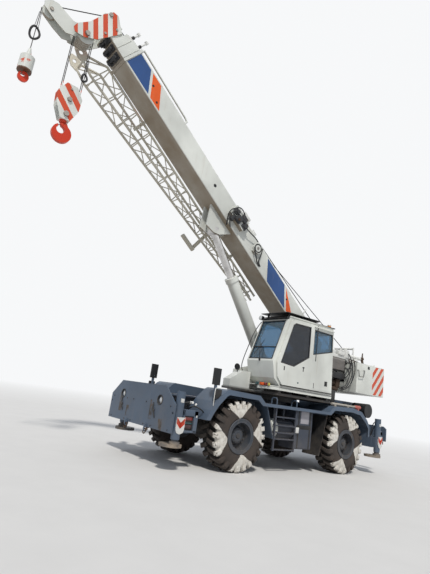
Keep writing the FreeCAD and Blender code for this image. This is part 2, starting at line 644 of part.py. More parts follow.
def turntable_frame():
    floor = TURNTABLE_FLOOR_Z
    disc = disc_z(0, 0, SLEW_SEAT_RADIUS + 30, SLEW_SEAT_TOP_Z + SLIDE_GAP, floor - TURNTABLE_PLATE)
    plate = slab_xy([(-2100, -800), (-2100, 800), (-1200, 1380), (900, 1380), (1180, NOSE_OUTER_Y),
                     (NOSE_FRONT_X, NOSE_OUTER_Y), (NOSE_FRONT_X, CHEEK_INNER_Y), (CHEEK_FRONT_X, CHEEK_INNER_Y - 60),
                     (CHEEK_FRONT_X, -CHEEK_INNER_Y - CHEEK_THICKNESS), (600, -900)],
                    floor - TURNTABLE_PLATE, floor)
    cheek = slab_xz(cheek_outline(), CHEEK_INNER_Y, CHEEK_INNER_Y + CHEEK_THICKNESS)
    bearing = disc_y(PIVOT_X, PIVOT_Z, PIVOT_PIN_RADIUS + 75, CHEEK_INNER_Y, CHEEK_INNER_Y + 90)
    pieces = both_sides(cheek) + both_sides(bearing)
    outer_y = CHEEK_INNER_Y + CHEEK_THICKNESS
    for x in (-1130, -300, 780):
        pieces.append(box(x, x + CAB_BASE_BEAM, outer_y, 1400, floor, CAB_BASE_Z - 20))
    ledge = slab_xy([(-1180, outer_y), (-1180, 1450), (900, 1450), (1080, 1300), (1180, 900), (1180, outer_y)],
                    CAB_BASE_Z - 20, CAB_BASE_Z)
    nose = slab_xz([(1180, floor), (NOSE_FRONT_X, floor), (NOSE_FRONT_X, 2080), (1445, NOSE_TOP_Z),
                    (1180, NOSE_TOP_Z)], outer_y, NOSE_OUTER_Y)
    root = box(CHEEK_FRONT_X - 200, 1180, CHEEK_INNER_Y, CAB_INNER_Y - 10, floor, NOSE_TOP_Z)
    pieces += [ledge, nose, root]
    base_x = cylinder_base().x
    bracket = slab_xz([(base_x - 330, floor), (base_x + 330, floor), (base_x + 150, BARREL_BASE_Z + 60),
                       (base_x + 60, BARREL_BASE_Z + 140), (base_x - 60, BARREL_BASE_Z + 140),
                       (base_x - 150, BARREL_BASE_Z + 60)], BARREL_BRACKET_Y, BARREL_BRACKET_Y + 45)
    stub = disc_y(base_x, BARREL_BASE_Z, EYE_PIN_RADIUS + 30, BARREL_BRACKET_Y, BARREL_BRACKET_Y + 80)
    pieces += both_sides(bracket) + both_sides(stub)
    whole = fuse([disc, plate] + pieces)
    pin_hole = disc_y(PIVOT_X, PIVOT_Z, PIVOT_PIN_RADIUS + PIN_GAP, -600, 600)
    return whole.cut(pin_hole)


def counterweight():
    wing = COUNTERWEIGHT_WING_Y
    half = COUNTERWEIGHT_HALF_WIDTH
    rear = COUNTERWEIGHT_REAR_X
    front = COUNTERWEIGHT_FRONT_X
    middle = COUNTERWEIGHT_MIDDLE_X
    plan = [(rear, -half + 60), (rear, half - 60), (rear + 60, half), (front, half), (front, wing),
            (middle, wing), (middle, -wing), (front, -wing), (front, -half), (rear + 60, -half)]
    block = slab_xy(plan, COUNTERWEIGHT_BOTTOM_Z, COUNTERWEIGHT_TOP_Z)
    tie = []
    for side in (1, -1):
        tie.append(box(front - 160, front, side * (CHEEK_INNER_Y + CHEEK_THICKNESS), side * wing, 2420, 2560))
    handles = []
    for side in (1, -1):
        y = side * (COUNTERWEIGHT_HALF_WIDTH + 55)
        root = side * (COUNTERWEIGHT_HALF_WIDTH - 5)
        handles.append(bent_bar([(-2690, root, 2965), (-2690, y, 2965), (-2740, y, 2775), (-2960, y, 2790),
                                 (-3010, y, 2985), (-3010, root, 2985)], HANDLE_RADIUS))
    return fuse([block] + tie + handles)


def winches():
    """Two hoist winches between their side plates, with motors outboard."""
    plate_y = CHEEK_INNER_Y
    plate = slab_xz([(-2450, 2700), (COUNTERWEIGHT_MIDDLE_X + 10, 2700), (COUNTERWEIGHT_MIDDLE_X + 10, 3060),
                     (-3400, 3140), (-2640, 3140), (-2450, 2950)], plate_y, plate_y + CHEEK_THICKNESS)
    pieces = both_sides(plate)
    for x in WINCH_X:
        pieces.append(disc_y(x, WINCH_Z, WINCH_DRUM_RADIUS, -plate_y, plate_y))
        for y in (-300, 275):
            pieces.append(disc_y(x, WINCH_Z, WINCH_FLANGE_RADIUS, y, y + 25))
        pieces.append(disc_y(x, WINCH_Z, 120, plate_y + CHEEK_THICKNESS, plate_y + 230))
        pieces.append(disc_y(x, WINCH_Z, 150, -plate_y - 120, -plate_y - CHEEK_THICKNESS))
    valve = box(-2080, -1420, CHEEK_INNER_Y + CHEEK_THICKNESS, 780, TURNTABLE_FLOOR_Z, 2480)
    return group([fuse(pieces), valve])


# cab

def windscreen_cutter(grow):
    """A prism through the raked front, with the window's outline; grow shrinks it for the pane."""
    low = (1232.0, 2650.0)
    high = (832.0, 3800.0)
    run = (high[0] - low[0], high[1] - low[1])
    size = math.hypot(*run)
    along = (run[0] / size, run[1] / size)
    across = (along[1], -along[0])
    start = 60.0 + grow
    end = size - 60.0 - grow
    return low, along, across, start, end


def windscreen(depth0, depth1, grow):
    low, along, across, start, end = windscreen_cutter(grow)
    corners = []
    for distance, depth in ((start, depth0), (end, depth0), (end, depth1), (start, depth1)):
        x = low[0] + along[0] * distance + across[0] * depth
        z = low[1] + along[1] * distance + across[1] * depth
        corners.append((x, z))
    return slab_xz(corners, CAB_INNER_Y + 60 + grow, CAB_OUTER_Y - 60 - grow)


def cab_shell():
    outer = slab_xz(CAB_PROFILE, CAB_INNER_Y, CAB_OUTER_Y)
    inner = slab_xz(inset(CAB_PROFILE, CAB_WALL), CAB_INNER_Y + CAB_WALL, CAB_OUTER_Y - CAB_WALL)
    cutters = [inner,
               slab_xz(inset(DOOR_PROFILE, 45), CAB_OUTER_Y - CAB_WALL - 5, CAB_OUTER_Y + 5),
               slab_xz(REAR_WINDOW, CAB_OUTER_Y - CAB_WALL - 5, CAB_OUTER_Y + 5),
               slab_xz(FAR_WINDOW, CAB_INNER_Y - 5, CAB_INNER_Y + CAB_WALL + 5),
               windscreen(-CAB_WALL - 30, 40, 0),
               box(-1300, -1000, CAB_INNER_Y + 110, CAB_OUTER_Y - 110, 3000, 3700),
               box(-250, 600, CAB_INNER_Y + 130, CAB_OUTER_Y - 130, 3780, 4000)]
    rail_low = box(-1150, 900, CAB_OUTER_Y, CAB_OUTER_Y + MOVE_GAP + DOOR_THICKNESS,
                   CAB_BASE_Z + 20, CAB_BASE_Z + 45 - SLIDE_GAP)
    rail_high = box(-1060, 640, CAB_OUTER_Y, CAB_OUTER_Y + MOVE_GAP + DOOR_THICKNESS,
                    3790 + SLIDE_GAP, 3815)
    visor = slab_xz([(905, 3815), (790, 3885), (-1110, 3925), (-1110, 3900), (-1000, 3896), (770, 3856), (890, 3795)],
                    CAB_INNER_Y + 30, CAB_OUTER_Y + 20)
    work_lamp = disc_x(CAB_INNER_Y + 20, 3840, 62, 850, 950)
    lamp_foot = box(770, 900, CAB_INNER_Y, CAB_INNER_Y + 60, 3790, 3850)
    beacon = fuse([disc_z(-1040, 1310, 68, 3895, 3925), disc_z(-1040, 1310, 52, 3920, 4015)])
    return fuse([outer.cut(cutters), rail_low, rail_high, visor, work_lamp, lamp_foot, beacon])


def cab_glass():
    mid = (CAB_WALL - GLASS_THICKNESS) / 2
    side_y = CAB_OUTER_Y - mid - GLASS_THICKNESS
    far_y = CAB_INNER_Y + mid
    panes = [slab_xz(inset(REAR_WINDOW, SEAT_GAP), side_y, side_y + GLASS_THICKNESS),
             slab_xz(inset(FAR_WINDOW, SEAT_GAP), far_y, far_y + GLASS_THICKNESS),
             windscreen(-mid - GLASS_THICKNESS, -mid, SEAT_GAP),
             box(-1080, -1080 + GLASS_THICKNESS, CAB_INNER_Y + 110 + SEAT_GAP, CAB_OUTER_Y - 110 - SEAT_GAP,
                 3000 + SEAT_GAP, 3700 - SEAT_GAP),
             box(-250 + SEAT_GAP, 600 - SEAT_GAP, CAB_INNER_Y + 130 + SEAT_GAP,
                 CAB_OUTER_Y - 130 - SEAT_GAP, 3838, 3838 + GLASS_THICKNESS)]
    return group(panes)


def cab_door():
    low_y = CAB_OUTER_Y + MOVE_GAP
    panel = slab_xz(DOOR_PROFILE, low_y, low_y + DOOR_THICKNESS)
    return panel.cut(slab_xz(DOOR_WINDOW, low_y - 5, low_y + DOOR_THICKNESS + 5))


def door_glass():
    low_y = CAB_OUTER_Y + MOVE_GAP + (DOOR_THICKNESS - GLASS_THICKNESS) / 2
    return slab_xz(inset(DOOR_WINDOW, SEAT_GAP), low_y, low_y + GLASS_THICKNESS)


def cab_interior():
    """The operator's seat, side consoles and front column."""
    middle = (CAB_INNER_Y + CAB_OUTER_Y) / 2
    floor = CAB_BASE_Z + CAB_WALL
    seat = fuse([box(-560, -120, middle - 200, middle + 200, floor + 330, floor + 450),
                 slab_xz([(-560, floor + 430), (-470, floor + 430), (-560, floor + 1120), (-640, floor + 1120)],
                         middle - 210, middle + 210),
                 box(-480, -220, middle - 130, middle + 130, floor, floor + 330)])
    console = slab_xz([(450, floor), (780, floor), (820, floor + 420), (560, floor + 560), (500, floor + 540)],
                      middle - 150, middle + 150)
    return group([seat, console])


# boom

def boom_tube(half, low, top, rear, front):
    corner = 45.0
    outer = box(rear, front, -half, half, low, top)
    outer = outer.makeFillet(corner, [e for e in outer.Edges if e.Length > 5000])
    inner = box(rear, front, -half + BOOM_WALL, half - BOOM_WALL, low + BOOM_WALL, top - BOOM_WALL)
    inner = inner.makeFillet(corner - BOOM_WALL, [e for e in inner.Edges if e.Length > 5000])
    return outer, inner


def wear_pads(index):
    """Pads at the mouth of one section that the next one slides on."""
    half, low, top = BOOM_SECTIONS[index][1:4]
    front = BOOM_SECTIONS[index][5]
    gap = BOOM_NEST_GAP - SLIDE_GAP
    pads = []
    for y in (-half * 0.55, half * 0.55):
        pads.append(box(front - 300, front - 20, y - 50, y + 50, low + BOOM_WALL, low + BOOM_WALL + gap))
        pads.append(box(front - 300, front - 20, y - 50, y + 50, top - BOOM_WALL - gap, top - BOOM_WALL))
    for side in (1, -1):
        pads.append(box(front - 300, front - 20, side * (half - BOOM_WALL - gap), side * (half - BOOM_WALL),
                        150, 260))
    return pads


def collar(index):
    name, half, low, top, rear, front = BOOM_SECTIONS[index]
    ring = box(front - 70, front, -half - 22, half + 22, low - 22, top + 22)
    return ring.cut(box(front - 70, front, -half + 6, half - 6, low + 6, top - 6))


def rope_guide(index):
    """Two upright plates with a roller between them, on the top of a section's mouth."""
    top, front = BOOM_SECTIONS[index][3], BOOM_SECTIONS[index][5]
    foot = [(front - 65, top + 10), (front - 5, top + 10), (front - 15, top + 130), (front - 55, top + 130)]
    plates = [slab_xz(foot, y, y + 14) for y in (-GUIDE_HALF_WIDTH, GUIDE_HALF_WIDTH - 14)]
    roller = disc_y(front - 35, top + 90, GUIDE_RADIUS, -GUIDE_HALF_WIDTH - 30, GUIDE_HALF_WIDTH + 30)
    return plates + [roller]


def boom_base():
    name, half, low, top, rear, front = BOOM_SECTIONS[0]
    outer, inner = boom_tube(half, low, top, rear, front)
    foot = slab_xz([(-110, -110), (110, -150), (rear + 60, low), (rear + 60, top - 60), (-60, 150)],
                   -half + 20, half - 20)
    boss = disc_y(0, 0, 130, -CHEEK_INNER_Y + 2, CHEEK_INNER_Y - 2)
    pin = disc_y(0, 0, PIVOT_PIN_RADIUS, -CHEEK_INNER_Y - 100, CHEEK_INNER_Y + 100)
    lug = slab_xz([(4950, low), (5950, low), (5620, ROD_EYE_H - 220), (5340, ROD_EYE_H - 160),
                   (5180, ROD_EYE_H - 46)], EYE_WIDTH / 2 + MOVE_GAP, EYE_WIDTH / 2 + MOVE_GAP + 50)
    pieces = [outer, foot, boss, pin, collar(0)] + both_sides(lug)
    eye_hole = disc_y(ROD_EYE_S, ROD_EYE_H, EYE_PIN_RADIUS + PIN_GAP, -half, half)
    whole = fuse(pieces).cut([inner, eye_hole])
    reel = fuse([disc_y(4160, 240, 150, half, half + 90), box(4090, 4230, half, half + 40, 60, 420)])
    sheave_box = box(4880, 5500, half, half + 130, 60, 420)
    pole = bent_bar([(8020, half - 40, top - 10), (8020, half - 40, top + 75), (8120, half - 40, top + 100),
                     (9950, half - 40, top + 115), (9950, half - 40, top)], POLE_RADIUS)
    whole = fuse([whole, reel, sheave_box, pole] + wear_pads(0) + rope_guide(0))
    return on_boom(whole)


def boom_middle(index):
    name, half, low, top, rear, front = BOOM_SECTIONS[index]
    outer, inner = boom_tube(half, low, top, rear, front)
    reach = BOOM_SECTIONS[index - 1][5]
    ring = box(reach + 20, front, -half - 18, half + 18, low - 18, top + 18)
    ring = ring.cut(box(reach + 20, front, -half + 6, half - 6, low + 6, top - 6))
    pieces = [outer.cut(inner), ring] + wear_pads(index) + rope_guide(index)
    gap = BOOM_NEST_GAP - SLIDE_GAP
    for y in (-half * 0.5, half * 0.5):
        pieces.append(box(rear + 20, rear + 260, y - 60, y + 60, top, top + gap))
    return on_boom(fuse(pieces))


def boom_head():
    """The last section with its head: side plates, top guide sheave, head sheaves and nose."""
    name, half, low, top, rear, front = BOOM_SECTIONS[3]
    outer, inner = boom_tube(half, low, top, rear, front)
    gap = BOOM_NEST_GAP - SLIDE_GAP
    tube = outer.cut(inner)
    pads = [box(rear + 20, rear + 260, y - 60, y + 60, top, top + gap) for y in (-110, 110)]
    plan = [(10610, -400), (10500, 330), (10870, 540), (10990, 480), (11030, 180), (11000, -280),
            (11070, -620), (11040, -760), (10940, -815), (10750, -670)]
    plate = slab_xz(plan, half, half + HEAD_PLATE_THICKNESS)
    tie_back = box(10600, 10640, -half, half, low - 120, top + 60)
    top_axle = disc_y(TOP_SHEAVE_S, TOP_SHEAVE_H, 40, -half - 40, half + 40)
    top_sheave = disc_y(TOP_SHEAVE_S, TOP_SHEAVE_H, 140, -60, 60)
    axle = disc_y(HEAD_SHEAVE_S, HEAD_SHEAVE_H, 45, -half - 50, half + 50)
    nose_plate = slab_xz([(10900, -330), (11040, -480), (11180, -600), (11590, -680), (11720, -790),
                          (11740, -950), (11650, -1035), (11270, -1015), (11020, -970), (10880, -800)], 110, 130)
    nose_axle = disc_y(NOSE_SHEAVE_S, NOSE_SHEAVE_H, 30, -150, 150)
    nose_tie = box(11180, 11220, -110, 110, -760, -640)
    pieces = [tube, tie_back, top_axle, top_sheave, axle, nose_axle, nose_tie] + pads
    pieces += both_sides(plate) + both_sides(nose_plate)
    pieces.append(disc_y(NOSE_SHEAVE_S, NOSE_SHEAVE_H, NOSE_SHEAVE_RADIUS, -30, 30))
    for y in (-2 * FALL_Y, -FALL_Y, 0, FALL_Y, 2 * FALL_Y):
        pieces.append(disc_y(HEAD_SHEAVE_S, HEAD_SHEAVE_H, HEAD_SHEAVE_RADIUS, y - 25, y + 25))
    return on_boom(fuse(pieces))


def lattice_jib():
    """The stowed jib along the boom's right side: four chords with lacing."""
    big = (10150.0, -640.0, -60.0, -860.0, -440.0)
    small = (2800.0, -310.0, -110.0, -700.0, -480.0)
    bays = 12

    def corner(s, edge):
        t = (big[0] - s) / (big[0] - small[0])
        h0, h1, y0, y1 = [a + (b - a) * t for a, b in zip(big[1:], small[1:])]
        return ((s, y0, h0), (s, y0, h1), (s, y1, h1), (s, y1, h0))[edge]

    pieces = []
    for edge in range(4):
        pieces.append(bar(corner(big[0], edge), corner(small[0], edge), 32))
    pitch = (big[0] - small[0] - 300) / bays
    for bay in range(bays + 1):
        start = big[0] - 60 - bay * pitch
        for edge in range(4):
            after = (edge + 1) % 4
            strut = start - 45 * (edge % 2)
            pieces.append(bar(corner(strut, edge), corner(strut, after), 15))
            if bay < bays:
                low, high = (edge, after) if bay % 2 else (after, edge)
                lean = start - 100 - 25 * (edge % 2)
                pieces.append(bar(corner(lean, low), corner(lean - pitch + 130, high), 13))
    for y in (big[3], big[4]):
        eye_plate = slab_xz([(10470, -620), (10510, -370), (10700, -330), (10870, -430), (10840, -570),
                             (10650, -650)], y - 14, y + 14)
        pieces.append(eye_plate.cut(disc_y(10690, -490, 50, y - 20, y + 20)))
        pieces.append(bar((big[0], y, big[1]), (10520, y, -570), 30))
        pieces.append(bar((big[0], y, big[2]), (10560, y, -400), 30))
        pieces.append(bar((big[0], y, big[2]), (10510, y, -540), 15))
    pieces.append(bar((10530, big[3], -500), (10530, big[4], -500), 24))
    for s in (4300, 8600):
        pieces.append(box(s - 40, s + 40, -490, -BOOM_SECTIONS[0][1], -200, -100))
        pieces.append(box(s - 40, s + 40, -490, -450, -420, -80))
    inner_y = -BOOM_SECTIONS[0][1]
    pieces.append(box(5080, 5180, -880, inner_y, -110, -50))
    pieces.append(box(5080, 5180, -880, -840, -760, -50))
    pieces.append(box(5080, 5620, -880, -780, -820, -740))
    return on_boom(fuse(pieces))


# luffing cylinder, built along its own axis from the rod's eye down to the base eye

def cylinder_place(shape):
    placed = shape.copy()
    eye = boom_point(ROD_EYE_S, ROD_EYE_H)
    turn = FreeCAD.Rotation(V(0, 1, 0), 180 - CYLINDER_ANGLE)
    placed.Placement = FreeCAD.Placement(eye, turn).multiply(placed.Placement)
    return placed


def cylinder_base():
    eye = boom_point(ROD_EYE_S, ROD_EYE_H)
    angle = math.radians(CYLINDER_ANGLE)
    return V(eye.x - cylinder_length() * math.cos(angle), 0, BARREL_BASE_Z)


def cylinder_length():
    eye = boom_point(ROD_EYE_S, ROD_EYE_H)
    return (eye.z - BARREL_BASE_Z) / math.sin(math.radians(CYLINDER_ANGLE))


def luff_rod():
    eye = disc_y(0, 0, EYE_RADIUS, -EYE_WIDTH / 2, EYE_WIDTH / 2)
    rod = Part.makeCylinder(ROD_RADIUS, ROD_LENGTH, V(0, 0, 0), V(1, 0, 0))
    pin = disc_y(0, 0, EYE_PIN_RADIUS, -EYE_WIDTH / 2 - MOVE_GAP - 50, EYE_WIDTH / 2 + MOVE_GAP + 50)
    return cylinder_place(fuse([eye, rod, pin]))


def luff_barrel():
    base = cylinder_length()
    mouth = base - BARREL_LENGTH
    tube = Part.makeCylinder(BARREL_RADIUS, BARREL_LENGTH, V(mouth, 0, 0), V(1, 0, 0))
    head = Part.makeCylinder(BARREL_RADIUS + 22, 130, V(mouth, 0, 0), V(1, 0, 0))
    eye = disc_y(base, 0, EYE_RADIUS, -EYE_WIDTH / 2, EYE_WIDTH / 2)
    bore = Part.makeCylinder(BARREL_RADIUS - BARREL_WALL, BARREL_LENGTH - 300, V(mouth + 110, 0, 0), V(1, 0, 0))
    mouth_bore = Part.makeCylinder(ROD_RADIUS + PIN_GAP, 130, V(mouth - 5, 0, 0), V(1, 0, 0))
    return cylinder_place(fuse([tube, head, eye]).cut([bore, mouth_bore]))


# hooks

def hook_shape(x, z, size, thick):
    """A forged single hook, open towards +X, with the neck that its shank grows from."""
    hole_x, hole_z = x + size * 0.18, z + size * 0.34
    neck = slab_xz([(x - size * 0.75, z + size * 0.4), (x - size * 0.34, z + size * 1.15),
                    (x + size * 0.2, z + size * 1.15), (x + size * 0.2, z + size * 0.4)], -thick, thick)
    mouth = slab_xz([(hole_x, hole_z), (x + size * 0.95, z + size * 1.3), (x + size * 0.2, z + size * 1.3)],
                    -thick - 1, thick + 1)
    body = fuse([disc_y(x, z, size, -thick, thick), neck])
    return body.cut([disc_y(hole_x, hole_z, size * 0.42, -thick - 1, thick + 1), mouth])


def main_block():
    """The multi-sheave hook block and its falls, hanging from the head sheaves."""
    head = boom_point(HEAD_SHEAVE_S, HEAD_SHEAVE_H)
    x, z = head.x, head.z - BLOCK_DROP
    pieces = []
    for y in (-95, -35, 35, 95):
        pieces.append(slab_xz([(x - 120, z + 430), (x + 120, z + 430), (x + 270, z + 180), (x + 250, z - 120),
                               (x + 110, z - 430), (x - 110, z - 430), (x - 250, z - 120), (x - 270, z + 180)],
                              y - 10, y + 10))
    pieces.append(disc_y(x, z + 60, 40, -130, 130))
    pieces.append(box(x - 110, x + 110, -105, 105, z - 430, z - 330))
    for y in (-FALL_Y, FALL_Y):
        pieces.append(disc_y(x, z + 60, BLOCK_SHEAVE_RADIUS, y - 15, y + 15))
    block = fuse(pieces).cut(disc_z(x, 0, SHANK_RADIUS + PIN_GAP, z - 430, z - 350))
    falls = []
    for y in (-FALL_Y, FALL_Y):
        for side in (1, -1):
            falls.append(disc_z(x + side * (BLOCK_SHEAVE_RADIUS + FALL_RADIUS + SEAT_GAP), y, FALL_RADIUS,
                                z + 60, head.z))
    return group([block] + falls)


def main_hook():
    head = boom_point(HEAD_SHEAVE_S, HEAD_SHEAVE_H)
    x, z = head.x, head.z - BLOCK_DROP - 430
    hook = hook_shape(x - 20, z - 310, 215, 45)
    shank = disc_z(x, 0, SHANK_RADIUS, z - 125, z + 75)
    collar = disc_z(x, 0, SHANK_RADIUS + 25, z - 60, z - SLIDE_GAP)
    return fuse([hook, shank, collar])


def aux_hook():
    nose = boom_point(NOSE_SHEAVE_S, NOSE_SHEAVE_H)
    x = nose.x + NOSE_SHEAVE_RADIUS + FALL_RADIUS + SEAT_GAP
    z = nose.z - AUX_DROP
    rope = disc_z(x, 0, FALL_RADIUS, z - 20, nose.z)
    cone = Part.makeCone(62, 24, 175, V(x, 0, z - 180), V(0, 0, 1))
    shoulder = Part.makeCone(AUX_WEIGHT_RADIUS, 70, 60, V(x, 0, z - 235), V(0, 0, 1))
    weight = disc_z(x, 0, AUX_WEIGHT_RADIUS, z - 580, z - 235)
    hook = hook_shape(x - 8, z - 705, 113, 26)
    shank = disc_z(x, 0, 30, z - 640, z - 570)
    return fuse([rope, cone, shoulder, weight, hook, shank])


def write(name, shape):
    placed = shape.copy()
    placed.translate(V(-ORIGIN_SHIFT, 0, 0))
    placed.exportStep("parts/" + name + ".step")
    return placed


def build():
    os.makedirs("parts", exist_ok=True)
    nodes = {
        "chassis": chassis(),
        "front_housing": front_housing(),
        "rear_housing": rear_housing(),
        "fenders": fenders(),
        "side_equipment": side_equipment(),
        "engine_hood": engine_hood(),
        "axles": axles(),
        "turntable_frame": turntable_frame(),
        "counterweight": counterweight(),
        "winches": winches(),
        "cab_shell": cab_shell(),
        "cab_glass": cab_glass(),
        "cab_door": cab_door(),
        "door_glass": door_glass(),
        "cab_interior": cab_interior(),
        "boom_base": boom_base(),
        "boom_section_2": boom_middle(1),
        "boom_section_3": boom_middle(2),
        "boom_head": boom_head(),
        "lattice_jib": lattice_jib(),
        "luff_rod": luff_rod(),
        "luff_barrel": luff_barrel(),
        "main_block": main_block(),
        "main_hook": main_hook(),
        "aux_hook": aux_hook(),
    }
    lugged = tyre()
    for name, side_x, side_y in WHEEL_TABLE:
        nodes["knuckle_" + name] = knuckle(side_x, side_y)
        nodes["rim_" + name] = rim(side_x, side_y)
        nodes["tyre_" + name] = place_tyre(lugged, side_x, side_y)
    for name, x, side in OUTRIGGER_TABLE:
        nodes["beam_" + name] = outrigger_beam(x, side)
        nodes["jack_" + name] = outrigger_jack(x, side)
    whole = FreeCAD.BoundBox()
    for name, shape in nodes.items():
        placed = write(name, shape)
        whole.add(placed.BoundBox)
        print(name, "solids", len(placed.Solids), "valid", placed.isValid())
    print("box", whole)
    for label, place in (("luff", V(PIVOT_X, 0, PIVOT_Z)),
                         ("rod eye", boom_point(ROD_EYE_S, ROD_EYE_H)),
                         ("head sheave", boom_point(HEAD_SHEAVE_S, HEAD_SHEAVE_H)),
                         ("nose sheave", boom_point(NOSE_SHEAVE_S, NOSE_SHEAVE_H))):
        print(label, round(place.x - ORIGIN_SHIFT, 3), round(place.z, 3))
    print("cylinder length", round(cylinder_length(), 2))


build()
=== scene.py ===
# %% [markdown]
# # A rough-terrain crane, dressed on its frame
# The solids come from the CAD model: carrier, upper, boom and hooks, each on a body that moves.
# They are the truth for every size. This file gives them their paint, rubber and steel, and adds
# what is thin: ropes, hoses, gaskets, lamps, rails and painted plates. Each step says what the real
# piece is, how it could be made, and why it is made this way here.

# %% The frame
import math

import bmesh
import bpy
from mathutils import Matrix, Vector


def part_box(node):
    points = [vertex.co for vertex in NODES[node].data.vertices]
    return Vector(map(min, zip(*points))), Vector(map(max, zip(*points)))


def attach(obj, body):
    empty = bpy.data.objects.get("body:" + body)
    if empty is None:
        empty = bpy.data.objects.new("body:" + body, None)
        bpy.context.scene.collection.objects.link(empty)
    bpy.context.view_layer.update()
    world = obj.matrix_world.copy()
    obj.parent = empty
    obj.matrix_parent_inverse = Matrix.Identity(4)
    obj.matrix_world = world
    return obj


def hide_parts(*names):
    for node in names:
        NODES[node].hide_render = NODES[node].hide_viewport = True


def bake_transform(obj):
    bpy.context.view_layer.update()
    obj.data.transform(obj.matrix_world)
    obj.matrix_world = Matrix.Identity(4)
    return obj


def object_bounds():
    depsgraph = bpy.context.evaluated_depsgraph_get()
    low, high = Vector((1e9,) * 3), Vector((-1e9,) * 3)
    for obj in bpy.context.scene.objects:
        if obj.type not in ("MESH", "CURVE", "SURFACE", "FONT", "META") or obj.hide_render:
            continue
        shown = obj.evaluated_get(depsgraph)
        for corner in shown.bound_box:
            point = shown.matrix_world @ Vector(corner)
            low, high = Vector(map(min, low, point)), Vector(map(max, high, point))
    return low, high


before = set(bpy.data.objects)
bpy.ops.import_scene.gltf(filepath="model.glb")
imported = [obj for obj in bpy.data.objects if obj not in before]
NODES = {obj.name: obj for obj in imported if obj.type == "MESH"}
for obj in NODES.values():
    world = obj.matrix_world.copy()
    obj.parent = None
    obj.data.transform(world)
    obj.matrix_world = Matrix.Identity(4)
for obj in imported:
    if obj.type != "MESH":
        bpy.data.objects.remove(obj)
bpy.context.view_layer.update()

# %% [markdown]
# ## Places
# The crane was measured from its slewing axis and, for the boom, from the boom's own foot: S runs
# along the boom and H stands up from it. Two matrices bring such numbers into the frame, so every
# table below reads like a drawing. Metres everywhere.

# %% Measuring frames
SLEW_X = -1.89
ELEVATION = math.radians(36.8)
SLEW = Matrix.Translation((SLEW_X, 0.0, 0.0))
BOOM = Matrix.Translation((SLEW_X - 1.95, 0.0, 3.10)) @ Matrix.Rotation(-ELEVATION, 4, "Y")
WHEELS = {"front_left": (2.0, 1), "front_right": (2.0, -1), "rear_left": (-2.0, 1), "rear_right": (-2.0, -1)}
JACKS = {"front_left": (3.765, 1), "front_right": (3.5, -1), "rear_left": (-3.64, 1), "rear_right": (-3.905, -1)}
AXLE_Z, TYRE_Y = 0.8, 1.18
print("boom foot at", tuple(round(v, 3) for v in BOOM.translation))

# %% [markdown]
# ## Camera
# The photograph was taken near the ground, left of the front corner, with the camera tipped up and
# rolled a little. A camera can be placed by eye, or solved from points of known size. This one was
# solved from the wheels, the cab's uprights and the boom, so it is written as position and angles.

# %% The camera
IMAGE_HEIGHT = 574
FOCAL_PIXELS = 443.3
YAW, PITCH, ROLL = -2.216, 0.237, 0.142

def make_camera():
    look = Vector((math.cos(YAW) * math.cos(PITCH), math.sin(YAW) * math.cos(PITCH), math.sin(PITCH)))
    level = Vector((math.sin(YAW), -math.cos(YAW), 0.0))
    rise = level.cross(look)
    right = level * math.cos(ROLL) + rise * math.sin(ROLL)
    up = rise * math.cos(ROLL) - level * math.sin(ROLL)
    data = bpy.data.cameras.new("camera")
    data.sensor_width = 36.0
    data.lens = 36.0 * FOCAL_PIXELS / IMAGE_HEIGHT
    data.clip_end = 400.0
    camera = bpy.data.objects.new("camera", data)
    bpy.context.collection.objects.link(camera)
    turn = Matrix((right, up, -look)).transposed().to_4x4()
    camera.matrix_world = Matrix.Translation((7.334, 9.276, 1.626)) @ turn
    bpy.context.scene.camera = camera
    print("lens", round(data.lens, 2), "mm")

make_camera()

# %% [markdown]
# ## Shader building
# A material is a small graph. Adding nodes one by one is long to read, so a little class adds a
# node with its settings and inputs in one line. Nothing here hides what Blender does.

# %% A graph helper
class Graph:
    """Adds nodes to a tree and joins them, so that a finish reads as a short recipe."""

    def __init__(self, tree):
        self.tree = tree

    def add(self, kind, inputs=None, **settings):
        made = self.tree.nodes.new(kind)
        for name, value in settings.items():
            setattr(made, name, value)
        for name, value in (inputs or {}).items():
            socket = made.inputs[name]
            if isinstance(value, bpy.types.NodeSocket):
                self.tree.links.new(value, socket)
            else:
                socket.default_value = value
        return made

    def math(self, operation, first, second=0.0, clamp=False):
        return self.add("ShaderNodeMath", {0: first, 1: second}, operation=operation, use_clamp=clamp).outputs[0]

    def ramp(self, value, low, high, start=0.0, end=1.0):
        inputs = {"Value": value, "From Min": low, "From Max": high, "To Min": start, "To Max": end}
        return self.add("ShaderNodeMapRange", inputs, clamp=True).outputs[0]

    def mix(self, factor, first, second):
        made = self.add("ShaderNodeMix", data_type="RGBA")
        for socket, value in ((made.inputs[0], factor), (made.inputs[6], first), (made.inputs[7], second)):
            if isinstance(value, bpy.types.NodeSocket):
                self.tree.links.new(value, socket)
            else:
                socket.default_value = value
        return made.outputs[2]

    def noise(self, vector, scale, detail=4.0, roughness=0.55):
        inputs = {"Vector": vector, "Scale": scale, "Detail": detail, "Roughness": roughness}
        return self.add("ShaderNodeTexNoise", inputs).outputs[0]

    def placed(self, vector, location=(0, 0, 0), rotation=(0, 0, 0), scale=(1, 1, 1)):
        inputs = {"Vector": vector, "Location": location, "Rotation": rotation, "Scale": scale}
        return self.add("ShaderNodeMapping", inputs).outputs[0]

    def coordinates(self):
        return self.add("ShaderNodeTexCoord").outputs["Object"]

    def boom_space(self, vector):
        back = BOOM.inverted()
        return self.placed(vector, back.to_translation(), back.to_euler())


